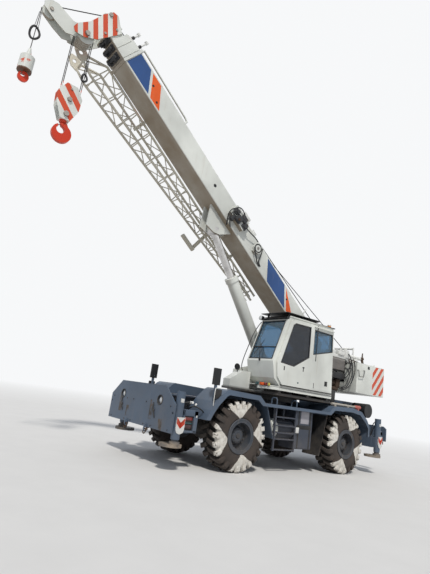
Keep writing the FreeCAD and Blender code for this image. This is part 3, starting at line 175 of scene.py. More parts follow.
def new_group(name, inputs, outputs):
    """An empty node group with its sockets; returns its graph, input sockets and output node."""
    tree = bpy.data.node_groups.new(name, "ShaderNodeTree")
    for label, kind, value in inputs:
        socket = tree.interface.new_socket(label, in_out="INPUT", socket_type=f"NodeSocket{kind}")
        if value is not None:
            socket.default_value = value
    for label, kind in outputs:
        tree.interface.new_socket(label, in_out="OUTPUT", socket_type=f"NodeSocket{kind}")
    graph = Graph(tree)
    return graph, graph.add("NodeGroupInput").outputs, graph.add("NodeGroupOutput")


def filled(graph, tree, inputs):
    """A copy of a node group with its inputs linked or set; returns its outputs."""
    made = graph.add("ShaderNodeGroup", node_tree=tree)
    for name, value in inputs.items():
        if isinstance(value, bpy.types.NodeSocket):
            graph.tree.links.new(value, made.inputs[name])
        else:
            made.inputs[name].default_value = value
    return made.outputs

# %% [markdown]
# ## Shared weathering
# A working crane shows the same three things on every painted piece: paint that is rubbed through
# at the corners, dust that settles low down and on ledges, and slow changes of tone with rain
# streaks. Each could be painted by hand. As node groups they are built once, and each finish asks
# for its own amount. The Bevel node finds corners: where its rounded normal leaves the flat one,
# there is an edge.

# %% Weathering groups
def make_wear_group():
    graph, given, out = new_group("edge_wear", [("Vector", "Vector", None), ("Amount", "Float", 0.5)],
                                  [("Mask", "Float")])
    soft = graph.add("ShaderNodeBevel", {"Radius": 0.012}, samples=4).outputs[0]
    sharp = graph.add("ShaderNodeNewGeometry").outputs["Normal"]
    same = graph.add("ShaderNodeVectorMath", {0: soft, 1: sharp}, operation="DOT_PRODUCT").outputs["Value"]
    edge = graph.ramp(same, 0.995, 0.80)
    patchy = graph.ramp(graph.noise(given["Vector"], 9.0, 8.0, 0.7), 0.48, 0.60)
    worn = graph.math("MULTIPLY", graph.math("MULTIPLY", edge, patchy), given["Amount"], clamp=True)
    graph.tree.links.new(worn, out.inputs["Mask"])
    return graph.tree


def make_dust_group():
    graph, given, out = new_group(
        "settled_dust",
        [("Vector", "Vector", None), ("Low", "Float", 0.3), ("High", "Float", 2.0), ("Amount", "Float", 0.6)],
        [("Mask", "Float")])
    height = graph.add("ShaderNodeSeparateXYZ", {0: given["Vector"]}).outputs[2]
    low = graph.ramp(height, given["High"], given["Low"])
    up = graph.add("ShaderNodeSeparateXYZ", {0: graph.add("ShaderNodeTexCoord").outputs["Normal"]}).outputs[2]
    ledge = graph.ramp(up, 0.5, 0.95)
    both = graph.math("MAXIMUM", low, graph.math("MULTIPLY", ledge, 0.55))
    cloudy = graph.ramp(graph.noise(given["Vector"], 2.6, 7.0, 0.62), 0.34, 0.70)
    fine = graph.ramp(graph.noise(given["Vector"], 38.0, 3.0), 0.25, 0.8, 0.55, 1.0)
    mask = graph.math("MULTIPLY", graph.math("MULTIPLY", both, cloudy), fine)
    graph.tree.links.new(graph.math("MULTIPLY", mask, given["Amount"], clamp=True), out.inputs["Mask"])
    return graph.tree


def make_streak_group():
    graph, given, out = new_group("rain_streaks", [("Vector", "Vector", None)], [("Mask", "Float"), ("Tone", "Float")])
    drawn = graph.placed(given["Vector"], scale=(7.0, 7.0, 0.55))
    streak = graph.ramp(graph.noise(drawn, 1.6, 5.0, 0.6), 0.56, 0.74)
    patch = graph.ramp(graph.noise(given["Vector"], 0.9, 3.0), 0.40, 0.66)
    graph.tree.links.new(graph.math("MULTIPLY", streak, patch), out.inputs["Mask"])
    graph.tree.links.new(graph.noise(given["Vector"], 0.75, 3.0), out.inputs["Tone"])
    return graph.tree


def make_stripe_group():
    graph, given, out = new_group(
        "stripes", [("Vector", "Vector", None), ("Across", "Vector", (1, 0, 0)), ("Pitch", "Float", 0.3),
                    ("Phase", "Float", 0.0), ("Share", "Float", 0.5)], [("Mask", "Float")])
    run = graph.add("ShaderNodeVectorMath", {0: given["Vector"], 1: given["Across"]},
                    operation="DOT_PRODUCT").outputs["Value"]
    turns = graph.math("ADD", graph.math("DIVIDE", run, given["Pitch"]), given["Phase"])
    mask = graph.math("LESS_THAN", graph.math("FRACT", turns), given["Share"])
    graph.tree.links.new(mask, out.inputs["Mask"])
    return graph.tree


def make_zone_group():
    graph, given, out = new_group(
        "zone", [("Vector", "Vector", None), ("Centre", "Vector", (0, 0, 0)), ("Half size", "Vector", (1, 1, 1))],
        [("Mask", "Float")])
    offset = graph.add("ShaderNodeVectorMath", {0: given["Vector"], 1: given["Centre"]}, operation="SUBTRACT")
    scaled = graph.add("ShaderNodeVectorMath", {0: offset.outputs[0], 1: given["Half size"]}, operation="DIVIDE")
    size = graph.add("ShaderNodeVectorMath", {0: scaled.outputs[0]}, operation="ABSOLUTE")
    parts = graph.add("ShaderNodeSeparateXYZ", {0: size.outputs[0]}).outputs
    widest = graph.math("MAXIMUM", graph.math("MAXIMUM", parts[0], parts[1]), parts[2])
    graph.tree.links.new(graph.math("LESS_THAN", widest, 1.0), out.inputs["Mask"])
    return graph.tree


WEAR, DUST, STREAK = make_wear_group(), make_dust_group(), make_streak_group()
STRIPES, ZONE = make_stripe_group(), make_zone_group()
print("groups:", ", ".join(g.name for g in bpy.data.node_groups))

# %% [markdown]
# ## Painted finishes
# Every painted finish is one recipe with its own colours and amounts: base tone, rain streaks,
# painted shade on faces turned down, bare edges, then dust on top of all. A piece with painted figures,
# such as warning stripes, hands in a function that lays them on the base before the weather does its work.

# %% The paint recipe
CREAM = (0.67, 0.685, 0.64, 1)
SLATE = (0.078, 0.111, 0.160, 1)
RED = (0.58, 0.045, 0.018, 1)
STRIPE_RED = (0.56, 0.075, 0.030, 1)
ROPE_BLACK = (0.020, 0.019, 0.018, 1)
BLACK = (0.014, 0.015, 0.017, 1)
DUST_COLOUR = (0.235, 0.195, 0.155, 1)
SOIL = (0.36, 0.29, 0.215, 1)
# Painted shade for faces turned down.
UNDERSIDE_SHADE = (0.205, 0.152, 0.098, 1)
UNDERCOAT = (0.115, 0.060, 0.035, 1)


def zone(graph, vector, low, high):
    """A mask that is 1 inside the box between two corners."""
    low, high = Vector(low), Vector(high)
    return filled(graph, ZONE, {"Vector": vector, "Centre": (low + high) / 2, "Half size": (high - low) / 2})[0]


def stripes(graph, vector, across, pitch, phase=0.0, share=0.5):
    return filled(graph, STRIPES, {"Vector": vector, "Across": across, "Pitch": pitch,
                                    "Phase": phase, "Share": share})[0]


def finish_shader(material, graph, colour, roughness, normal=None, metallic=0.0, **constants):
    shader = graph.tree.nodes["Principled BSDF"]
    for name, value in (("Base Color", colour), ("Roughness", roughness), ("Normal", normal),
                        ("Metallic", metallic)):
        if isinstance(value, bpy.types.NodeSocket):
            graph.tree.links.new(value, shader.inputs[name])
        elif value is not None:
            shader.inputs[name].default_value = value
    for name, value in constants.items():
        shader.inputs[name.replace("_", " ")].default_value = value
    return material


def new_material(name):
    material = bpy.data.materials.new(name)
    material.use_nodes = True
    return material, Graph(material.node_tree)


def painted(name, base, roughness=0.42, wear=0.8, dust=0.6, dust_height=(0.3, 2.0), under=UNDERCOAT,
            figures=None, streak=(0.36, 0.29, 0.20, 1), streak_share=0.35, shade_below=0.0, soil=DUST_COLOUR):
    material, graph = new_material(name)
    place = graph.coordinates()
    streaks = filled(graph, STREAK, {"Vector": place})
    darker = tuple(c * 0.80 for c in base[:3]) + (1,)
    lighter = tuple(min(1.0, c * 1.09) for c in base[:3]) + (1,)
    colour = graph.mix(graph.ramp(streaks["Tone"], 0.35, 0.65), darker, lighter)
    if figures:
        colour = figures(graph, place, colour)
    colour = graph.mix(graph.math("MULTIPLY", streaks["Mask"], streak_share), colour, streak)
    # Faces turned down get darker and warmer: painted shade and ground bounce, in patches.
    if shade_below:
        facing = graph.add("ShaderNodeSeparateXYZ", {0: graph.add("ShaderNodeTexCoord").outputs["Normal"]}).outputs[2]
        patchy_shade = graph.ramp(graph.noise(place, 1.8, 6.0), 0.3, 0.7, shade_below * 0.75, shade_below)
        colour = graph.mix(graph.math("MULTIPLY", graph.ramp(facing, -0.40, -0.72), patchy_shade), colour, UNDERSIDE_SHADE)
    worn = filled(graph, WEAR, {"Vector": place, "Amount": wear})[0]
    colour = graph.mix(worn, colour, under)
    dusty = filled(graph, DUST, {"Vector": place, "Low": dust_height[0], "High": dust_height[1],
                                  "Amount": dust})[0]
    colour = graph.mix(dusty, colour, soil)
    rough = graph.ramp(graph.math("MAXIMUM", dusty, worn), 0.0, 1.0, roughness, 0.88)
    orange_peel = graph.noise(place, 60.0, 2.0)
    height = graph.math("SUBTRACT", graph.math("MULTIPLY", orange_peel, 0.15), worn)
    bump = graph.add("ShaderNodeBump", {"Height": height, "Strength": 0.25, "Distance": 0.003}).outputs[0]
    return finish_shader(material, graph, colour, rough, bump, Specular_IOR_Level=0.3)


def counterweight_figures(graph, place, colour):
    """Red diagonal bars on the rear third of each side, and on the outer ends of the back."""
    half = 1.21
    rear = zone(graph, place, (SLEW_X - 4.30, -half, 2.31), (SLEW_X - 3.53, half, 3.185))
    middle = zone(graph, place, (SLEW_X - 4.30, -0.72, 2.0), (SLEW_X - 4.20, 0.72, 3.4))
    side = stripes(graph, place, (0.77, 0.0, 0.64), 0.235, 0.15, 0.5)
    mask = graph.math("MULTIPLY", graph.math("SUBTRACT", rear, middle, clamp=True), side)
    outward = graph.math("ABSOLUTE", graph.add("ShaderNodeSeparateXYZ", {0: place}).outputs[1])
    handles = graph.math("GREATER_THAN", outward, half + 0.006)
    return graph.mix(handles, graph.mix(mask, colour, STRIPE_RED), (0.16, 0.16, 0.155, 1))


def head_figures(graph, place, colour):
    """Red bars across the head plates, where the head is meant to be seen from the ground."""
    local = graph.boom_space(place)
    plates = zone(graph, local, (10.50, -0.30, -1.2), (12.0, 0.30, 0.8))
    outer = graph.math("GREATER_THAN", graph.math("ABSOLUTE", graph.add(
        "ShaderNodeSeparateXYZ", {0: local}).outputs[1]), 0.236)
    bars = stripes(graph, local, (0.65, 0.0, -0.75), 0.24, 0.10, 0.5)
    return graph.mix(graph.math("MULTIPLY", graph.math("MULTIPLY", plates, outer), bars), colour, STRIPE_RED)


def block_figures(graph, place, colour):
    """Red bars on the cheeks of the hook block; the falls above it are dark wire rope."""
    cheek_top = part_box("main_block")[0][2] + 0.86
    rope = graph.ramp(graph.add("ShaderNodeSeparateXYZ", {0: place}).outputs[2], cheek_top, cheek_top + 0.01)
    bars = stripes(graph, place, (0.75, 0.0, -0.66), 0.30, 0.20, 0.45)
    return graph.mix(rope, graph.mix(bars, colour, STRIPE_RED), ROPE_BLACK)


def aux_figures(graph, place, colour):
    """A cream weight with red marks, a red hook under it and the dark fall above it."""
    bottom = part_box("aux_hook")[0][2]
    z = graph.add("ShaderNodeSeparateXYZ", {0: place}).outputs[2]
    marks = graph.math("MULTIPLY", stripes(graph, place, (0.75, 0.4, 0.55), 0.31, 0.2, 0.3),
                       graph.ramp(graph.noise(place, 7.0), 0.51, 0.58))
    colour = graph.mix(marks, colour, STRIPE_RED)
    # The weight's bottom face is bare undercoat brown: worn paint, and painted shade under the weight.
    colour = graph.mix(graph.math("LESS_THAN", z, bottom + 0.265), colour, UNDERCOAT)
    colour = graph.mix(graph.math("LESS_THAN", z, bottom + 0.225), colour, RED)
    return graph.mix(graph.math("GREATER_THAN", z, bottom + 0.815), colour, ROPE_BLACK)


def carrier_figures(graph, place, colour):
    """Black mirror heads and air cleaner, and the rub marks that hooks and shackles left on the bumper."""
    rubbed = graph.mix(graph.ramp(graph.noise(place, 14.0, 5.0), 0.40, 0.60), (0.020, 0.018, 0.016, 1),
                       (0.075, 0.052, 0.038, 1))
    ragged = graph.ramp(graph.noise(place, 8.0, 6.0, 0.65), 0.40, 0.52)
    for low, high in (((3.915, 0.47, 0.93), (3.935, 0.60, 1.34)), ((3.915, -0.60, 0.86), (3.935, -0.48, 1.12)),
                      ((3.915, 0.90, 0.70), (3.935, 1.06, 0.98)), ((3.915, -0.98, 0.95), (3.935, -0.84, 1.30))):
        low, high = SLEW @ Vector(low), SLEW @ Vector(high)
        colour = graph.mix(graph.math("MULTIPLY", zone(graph, place, low, high), ragged), colour, rubbed)
    mirror = zone(graph, place, (SLEW_X + 2.7, -1.42, 1.845), (SLEW_X + 3.0, 1.42, 2.3))
    drum = zone(graph, place, (SLEW_X - 3.42, 0.83, 1.58), (SLEW_X - 2.98, 1.34, 2.02))
    black = graph.math("MAXIMUM", mirror, drum)
    flap = zone(graph, place, (SLEW_X - 1.10, -1.45, 0.44), (SLEW_X - 0.84, 1.45, 1.50))
    black = graph.math("MAXIMUM", black, flap)
    return graph.mix(black, colour, BLACK)


def cab_figures(graph, place, colour):
    """The dark sun visor on the cab's roof, and the dark rails that the door slides on."""
    roof = zone(graph, place, (SLEW_X - 1.2, 0.5, 3.897), (SLEW_X + 0.95, 1.49, 3.95))
    lip = zone(graph, place, (SLEW_X + 0.79, 0.5, 3.79), (SLEW_X + 0.95, 1.49, 3.95))
    rails = zone(graph, place, (SLEW_X - 1.2, 1.452, 2.0), (SLEW_X + 0.95, 1.52, 2.107))
    return graph.mix(graph.math("MAXIMUM", graph.math("MAXIMUM", roof, lip), rails), colour, BLACK)


def tray_painted_shade(graph, place, colour):
    """Painted shade under the turntable's plate, and painted shadow in the space under the ledge that carries the cab.
    """
    z = graph.add("ShaderNodeSeparateXYZ", {0: place}).outputs[2]
    colour = graph.mix(graph.ramp(z, 1.93, 1.87), colour, (0.05, 0.05, 0.048, 1))
    under_cab_shadow = zone(graph, place, (SLEW_X - 1.6, 0.88, 1.70), (SLEW_X + 1.05, 1.47, 2.014))
    return graph.mix(under_cab_shadow, colour, (0.030, 0.028, 0.027, 1))


AIRY, CLEAN = (-6.0, 3.0), (-2.0, 3.0)
PAINTS = {
    "carrier": painted("carrier_paint_finish", SLATE, 0.46, 0.9, 0.42, (0.2, 2.0), figures=carrier_figures,
                       streak=(0.17, 0.155, 0.14, 1)),
    # A darker copy of the carrier's slate: painted shade on the chassis and side equipment under deck and fenders.
    "shaded": painted("painted_shade_slate_finish", (0.046, 0.056, 0.078, 1), 0.50, 0.8, 0.40, (0.2, 1.6)),
    "jack": painted("jack_paint_finish", (0.045, 0.060, 0.080, 1), 0.55, 0.9, 1.3, (0.56, 0.66), soil=SOIL),
    "cream": painted("cream_paint_finish", CREAM, 0.36, 0.55, 0.30, CLEAN),
    "cab": painted("cab_paint_finish", CREAM, 0.34, 0.45, 0.25, CLEAN, figures=cab_figures),
    "turntable": painted("turntable_paint_finish", CREAM, 0.40, 0.6, 0.35, CLEAN, figures=tray_painted_shade, shade_below=0.9),
    "weight": painted("counterweight_finish", CREAM, 0.40, 0.7, 0.30, CLEAN, figures=counterweight_figures),
    "boom": painted("boom_paint_finish", CREAM, 0.36, 0.45, 0.25, AIRY, shade_below=0.95),
    "head": painted("boom_head_finish", CREAM, 0.40, 0.8, 0.30, AIRY, figures=head_figures, shade_below=0.95),
    "barrel": painted("barrel_paint_finish", CREAM, 0.38, 0.5, 0.25, AIRY, shade_below=0.75),
    "jib": painted("jib_paint_finish", (0.62, 0.59, 0.50, 1), 0.50, 0.9, 0.40, AIRY, shade_below=0.45,
                   streak=(0.30, 0.19, 0.11, 1), streak_share=0.6),
    "block": painted("block_paint_finish", CREAM, 0.42, 0.9, 0.25, (-9.0, 3.0), figures=block_figures),
    "aux": painted("aux_paint_finish", CREAM, 0.42, 1.0, 0.25, (-9.0, 3.0), figures=aux_figures),
    "hook": painted("hook_paint_finish", RED, 0.40, 0.8, 0.20, (-9.0, 3.0), under=(0.07, 0.045, 0.04, 1)),
    "rim": painted("rim_paint_finish", (0.040, 0.049, 0.063, 1), 0.50, 0.7, 0.45, (0.1, 1.7)),
    "iron": painted("axle_iron_finish", (0.040, 0.042, 0.046, 1), 0.60, 0.4, 0.7, (0.1, 1.6)),
    "black": painted("black_trim", BLACK, 0.45, 0.5, 0.35, (0.1, 2.6), under=(0.16, 0.15, 0.14, 1)),
    "white": painted("white_trim", (0.70, 0.70, 0.67, 1), 0.38, 0.5, 0.30, (0.1, 1.6)),
    "tin": painted("dull_tin_finish", (0.24, 0.225, 0.21, 1), 0.55, 0.3, 0.35, CLEAN),
    "bottle": painted("deck_bottle_finish", (0.43, 0.115, 0.095, 1), 0.52, 0.9, 0.50, (0.1, 2.6)),
    "pole": painted("deck_pole_finish", (0.40, 0.37, 0.32, 1), 0.50, 0.8, 0.55, (0.1, 2.6)),
}
print("paints:", len(PAINTS))

# %% [markdown]
# ## Glass, chrome, cloth-like plastic and wire rope
# Glass lets the seat show through and mirrors the studio. It keeps plain values on its shader,
# with a thin film of dust as the only pattern. The ram's rod is hard chrome. Wire rope is dark and
# greasy, with a fine grain of bumps on it.

# %% Other finishes
def make_glass(name, tint):
    material, graph = new_material(name)
    film = graph.ramp(graph.noise(graph.coordinates(), 3.0, 6.0, 0.6), 0.40, 0.75)
    colour = graph.mix(graph.math("MULTIPLY", film, 0.20), tint, (0.30, 0.31, 0.30, 1))
    rough = graph.ramp(film, 0.0, 1.0, 0.02, 0.14)
    return finish_shader(material, graph, colour, rough, Transmission_Weight=0.86, IOR=1.48)


def make_metal(name, colour, roughness, scale):
    material, graph = new_material(name)
    place = graph.coordinates()
    spots = graph.noise(place, scale, 6.0, 0.6)
    shade = graph.mix(graph.ramp(spots, 0.35, 0.7), colour, tuple(c * 0.62 for c in colour[:3]) + (1,))
    rough = graph.ramp(spots, 0.3, 0.75, roughness, min(0.9, roughness + 0.25))
    bump = graph.add("ShaderNodeBump", {"Height": spots, "Strength": 0.15, "Distance": 0.002}).outputs[0]
    return finish_shader(material, graph, shade, rough, bump, metallic=1.0)


def make_plastic(name, colour, roughness=0.55, grain=220.0):
    material, graph = new_material(name)
    place = graph.coordinates()
    speck = graph.noise(place, grain, 2.0)
    tone = graph.noise(place, 2.4, 4.0)
    pale = tuple(min(1.0, c * 1.5 + 0.01) for c in colour[:3]) + (1,)
    shade = graph.mix(graph.ramp(tone, 0.38, 0.68), colour, pale)
    bump = graph.add("ShaderNodeBump", {"Height": speck, "Strength": 0.3, "Distance": 0.001}).outputs[0]
    return finish_shader(material, graph, shade, graph.ramp(tone, 0.3, 0.7, roughness, roughness + 0.2), bump)


def make_lens(name, colour):
    material, graph = new_material(name)
    cells = graph.add("ShaderNodeTexVoronoi", {"Vector": graph.coordinates(), "Scale": 90.0}).outputs["Distance"]
    shade = graph.mix(graph.ramp(cells, 0.1, 0.7), colour, tuple(c * 0.55 for c in colour[:3]) + (1,))
    bump = graph.add("ShaderNodeBump", {"Height": cells, "Strength": 0.5, "Distance": 0.002}).outputs[0]
    return finish_shader(material, graph, shade, 0.20, bump, Coat_Weight=0.4, Coat_Roughness=0.06)


OTHERS = {
    "glass": make_glass("cab_glass_finish", (0.20, 0.36, 0.50, 1)),
    "dark_glass": make_glass("door_glass_finish", (0.030, 0.050, 0.085, 1)),
    "chrome": make_metal("rod_chrome_finish", (0.72, 0.71, 0.70, 1), 0.16, 5.0),
    "steel": make_metal("bare_steel_finish", (0.36, 0.33, 0.30, 1), 0.45, 30.0),
    "rust": painted("rusty_iron_finish", (0.058, 0.036, 0.024, 1), 0.80, 0.2, 0.5, (0.1, 1.6)),
    "rope": make_plastic("wire_rope_finish", (0.020, 0.020, 0.022, 1), 0.65, 300.0),
    "rubber": make_plastic("black_rubber", (0.018, 0.018, 0.019, 1), 0.62),
    "plastic": make_plastic("interior_plastic_finish", (0.035, 0.037, 0.040, 1), 0.55),
    "clear": make_lens("clear_lens", (0.80, 0.82, 0.82, 1)),
    "amber": make_lens("amber_lens", (0.85, 0.30, 0.03, 1)),
    "red_lens": make_lens("red_lens", (0.24, 0.011, 0.008, 1)),
    "teal": make_lens("teal_lens", (0.012, 0.085, 0.095, 1)),
    "yellow": make_lens("yellow_lens", (0.75, 0.62, 0.10, 1)),
    "orange": painted("orange_decal", (0.78, 0.115, 0.018, 1), 0.35, 0.0, 0.12, AIRY),
    "blue": painted("blue_decal", (0.028, 0.080, 0.235, 1), 0.35, 0.0, 0.15, AIRY),
    "red": painted("red_paint", RED, 0.42, 0.4, 0.25, (0.1, 2.2)),
    "dark_red": make_lens("dark_red_lens", (0.055, 0.008, 0.008, 1)),
    "label": painted("faded_label", (0.36, 0.35, 0.38, 1), 0.40, 0.2, 0.30, (0.1, 1.6)),
    "cloth": make_plastic("seat_cloth", (0.045, 0.050, 0.060, 1), 0.80, 600.0),
}
print("other finishes:", len(OTHERS))

# %% [markdown]
# ## Dressing the solids
# Each CAD solid keeps its mesh. It only gets the finish that suits it, in its own material slots.

# %% Finishes on the solids
DRESS = {
    "chassis": "shaded", "front_housing": "carrier", "rear_housing": "carrier", "fenders": "carrier",
    "side_equipment": "shaded", "engine_hood": "carrier", "axles": "iron", "turntable_frame": "turntable",
    "counterweight": "weight", "winches": "cream", "cab_shell": "cab", "cab_glass": "glass",
    "cab_interior": "plastic", "cab_door": "cab", "door_glass": "dark_glass", "boom_base": "boom",
    "boom_section_2": "boom", "boom_section_3": "boom", "boom_head": "head", "lattice_jib": "jib",
    "luff_rod": "chrome", "luff_barrel": "barrel", "main_block": "block", "main_hook": "hook",
    "aux_hook": "aux",
}
for place_name in WHEELS:
    DRESS.update({f"knuckle_{place_name}": "iron", f"rim_{place_name}": "rim", f"tyre_{place_name}": "black",
                  f"beam_{place_name}": "carrier", f"jack_{place_name}": "jack"})

for node_name, finish_name in DRESS.items():
    finish = PAINTS.get(finish_name) or OTHERS[finish_name]
    for material_slot in NODES[node_name].material_slots:
        material_slot.material = finish
print("dressed:", len(DRESS), "of", len(NODES))

# %% [markdown]
# ## Making pieces
# Thin pieces are turned, extruded or bent from simple forms, and several that share a finish and a
# body are one object. Each helper adds one such form to a mesh in progress, in the measuring frame
# of its table; the piece is then brought into place inside its mesh, so that its object stays at
# the origin and patterns on it don't slide.

# %% Helpers for new pieces
def add_box(bm, low, high, bevel=0.006):
    low, high = Vector(low), Vector(high)
    size = Matrix.Diagonal((*(high - low), 1.0))
    made = bmesh.ops.create_cube(bm, size=1.0, matrix=Matrix.Translation((low + high) / 2) @ size)
    edges = list({edge for vert in made["verts"] for edge in vert.link_edges})
    if bevel:
        bmesh.ops.bevel(bm, geom=edges, offset=bevel, segments=2, affect="EDGES", profile=0.5, material=-1)


def add_rod(bm, start, end, radius, end_radius=None, sides=16):
    start, end = Vector(start), Vector(end)
    run = end - start
    turn = run.to_track_quat("Z", "Y").to_matrix().to_4x4()
    bmesh.ops.create_cone(bm, cap_ends=True, segments=sides, radius1=radius,
                          radius2=radius if end_radius is None else end_radius, depth=run.length,
                          matrix=Matrix.Translation((start + end) / 2) @ turn)


def add_turned(bm, centre, axis, profile, sides=32):
    """A lathe: the profile is (distance along the axis, radius) and closes on itself if it should."""
    axis = Vector(axis).normalized()
    turn = axis.to_track_quat("Z", "Y").to_matrix().to_4x4()
    place = Matrix.Translation(Vector(centre)) @ turn
    verts = [bm.verts.new(place @ Vector((radius, 0.0, along))) for along, radius in profile]
    edges = [bm.edges.new(pair) for pair in zip(verts, verts[1:])]
    made = bmesh.ops.spin(bm, geom=verts + edges, cent=Vector(centre), axis=axis, dvec=(0, 0, 0),
                          angle=2 * math.pi, steps=sides, use_merge=True, use_duplicate=False)
    return made


def add_plate(bm, corners, thickness):
    """A flat plate: its corners in order, and the direction and size of its thickness."""
    face = bm.faces.new([bm.verts.new(Vector(corner)) for corner in corners])
    made = bmesh.ops.extrude_face_region(bm, geom=[face])
    moved = [item for item in made["geom"] if isinstance(item, bmesh.types.BMVert)]
    bmesh.ops.translate(bm, verts=moved, vec=Vector(thickness))


def finish_piece(name, bm, body, material, place=SLEW, smooth=40.0):
    bm.transform(place)
    bmesh.ops.remove_doubles(bm, verts=bm.verts, dist=1e-5)
    bmesh.ops.recalc_face_normals(bm, faces=bm.faces)
    mesh = bpy.data.meshes.new(name)
    bm.to_mesh(mesh)
    bm.free()
    mesh.polygons.foreach_set("use_smooth", [True] * len(mesh.polygons))
    mesh.set_sharp_from_angle(angle=math.radians(smooth))
    mesh.materials.append(PAINTS.get(material) or OTHERS[material])
    made = bpy.data.objects.new(name, mesh)
    bpy.context.collection.objects.link(made)
    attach(made, body)
    return made


def kit(name, body, material, place=SLEW, boxes=(), rods=(), plates=(), turned=(), both=False, smooth=40.0):
    """One piece from tables of boxes, rods, plates and turned forms; both adds its mirror image in Y."""
    bm = bmesh.new()
    for row in boxes:
        add_box(bm, *row)
    for row in rods:
        add_rod(bm, *row)
    for row in plates:
        add_plate(bm, *row)
    for row in turned:
        add_turned(bm, *row)
    if both:
        copy = bmesh.ops.duplicate(bm, geom=bm.verts[:] + bm.edges[:] + bm.faces[:])
        verts = [item for item in copy["geom"] if isinstance(item, bmesh.types.BMVert)]
        bmesh.ops.transform(bm, verts=verts, matrix=Matrix.Diagonal((1, -1, 1, 1)))
    return finish_piece(name, bm, body, material, place, smooth)


def bent(name, body, material, lines, radius, place=SLEW, closed=False, round_bends=True):
    """Hoses, ropes, rails and gaskets: round lines swept along their points, one object for all."""
    data = bpy.data.curves.new(name, "CURVE")
    data.dimensions = "3D"
    data.bevel_depth = radius
    data.bevel_resolution = 3
    data.resolution_u = 6
    data.use_fill_caps = True
    for points in lines:
        spline = data.splines.new("NURBS" if round_bends else "POLY")
        spline.points.add(len(points) - 1)
        for point, corner in zip(spline.points, points):
            point.co = (*(place @ Vector(corner)), 1.0)
        spline.use_cyclic_u = closed
        if round_bends:
            spline.order_u = 3
            spline.use_endpoint_u = not closed
    made = bpy.data.objects.new(name + "_line", data)
    bpy.context.collection.objects.link(made)
    mesh = bpy.data.meshes.new_from_object(made.evaluated_get(bpy.context.evaluated_depsgraph_get()))
    bpy.data.objects.remove(made)
    mesh.name = name
    mesh.materials.clear()
    mesh.materials.append(PAINTS.get(material) or OTHERS[material])
    mesh.polygons.foreach_set("use_smooth", [True] * len(mesh.polygons))
    swept = bpy.data.objects.new(name, mesh)
    bpy.context.collection.objects.link(swept)
    if body:
        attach(swept, body)
    return swept

print("helpers ready")

# %% [markdown]
# ## Tyres
# Earthmover tyres with deep angled lugs that fold over the shoulder. The CAD tyre has flat sides to
# stay light. A tyre could be sculpted, or lofted section by section. Here the carcass is one outline
# spun about the axle, and one lug is cut, bent and bevelled, then copied round by the same spin, so
# all of them match. The painted wedges on the sidewall are a mask by angle and radius.

# %% Tyre finish
WEDGE_TURN = {"front_left": 0.20, "front_right": 0.5, "rear_left": -0.35, "rear_right": -0.1}

def make_rubber(name, axle_x, side, turn):
    material, graph = new_material(name)
    place = graph.coordinates()
    local = graph.placed(place, (-(axle_x + SLEW_X), -side * TYRE_Y, -AXLE_Z))
    x, y, z = graph.add("ShaderNodeSeparateXYZ", {0: local}).outputs
    radius = graph.math("SQRT", graph.math("ADD", graph.math("MULTIPLY", x, x), graph.math("MULTIPLY", z, z)))
    quarter = graph.math("DIVIDE", graph.math("SUBTRACT", graph.math("ARCTAN2", x, z), turn), math.pi / 2)
    off_axis = graph.math("ABSOLUTE", graph.math("SUBTRACT", graph.math("FRACT", graph.math("ADD", quarter, 0.5)), 0.5))
    sideways = graph.math("MULTIPLY", radius, graph.math("SINE", graph.math("MULTIPLY", off_axis, math.pi / 2)))
    ragged = graph.math("MULTIPLY", graph.math("SUBTRACT", graph.noise(place, 7.0, 5.0), 0.5), 0.05)
    reach = graph.math("ADD", graph.math("MULTIPLY", graph.math("SUBTRACT", radius, 0.37), 0.92), ragged)
    wedge = graph.math("LESS_THAN", sideways, reach)
    across = graph.math("MULTIPLY", y, side)
    outside = graph.ramp(graph.math("ADD", across, graph.math("MULTIPLY", ragged, 1.6)), 0.205, 0.235)
    scuffed = graph.math("MULTIPLY", graph.ramp(radius, 0.62, 0.79), 0.13)
    flaking = graph.ramp(graph.math("ADD", graph.noise(place, 22.0, 7.0, 0.7), scuffed), 0.71, 0.62)
    paint = graph.math("MULTIPLY", graph.math("MULTIPLY", wedge, outside), flaking)
    earth = graph.ramp(graph.noise(place, 3.4, 7.0, 0.65), 0.30, 0.68)
    dusty = graph.mix(graph.math("MULTIPLY", earth, 0.75), (0.026, 0.022, 0.020, 1), (0.076, 0.056, 0.044, 1))
    # Painted shade in the recesses between the lugs at the shoulder.
    lug_gap_shade = graph.math("MULTIPLY", graph.ramp(radius, 0.760, 0.742), graph.ramp(graph.math("ABSOLUTE", y), 0.262, 0.235))
    dusty = graph.mix(lug_gap_shade, dusty, (0.012, 0.011, 0.010, 1))
    worn_top = graph.math("MULTIPLY", graph.ramp(radius, 0.785, 0.793), 0.7)
    dusty = graph.mix(worn_top, dusty, (0.062, 0.052, 0.045, 1))
    white = graph.mix(graph.ramp(graph.noise(place, 12.0, 5.0), 0.35, 0.70), (0.66, 0.64, 0.59, 1),
                      (0.50, 0.465, 0.41, 1))
    colour = graph.mix(paint, dusty, white)
    height = graph.math("ADD", graph.noise(place, 120.0, 3.0), graph.math("MULTIPLY", paint, 0.25))
    bump = graph.add("ShaderNodeBump", {"Height": height, "Strength": 0.35, "Distance": 0.002}).outputs[0]
    return finish_shader(material, graph, colour, graph.ramp(earth, 0.0, 1.0, 0.78, 0.93), bump)

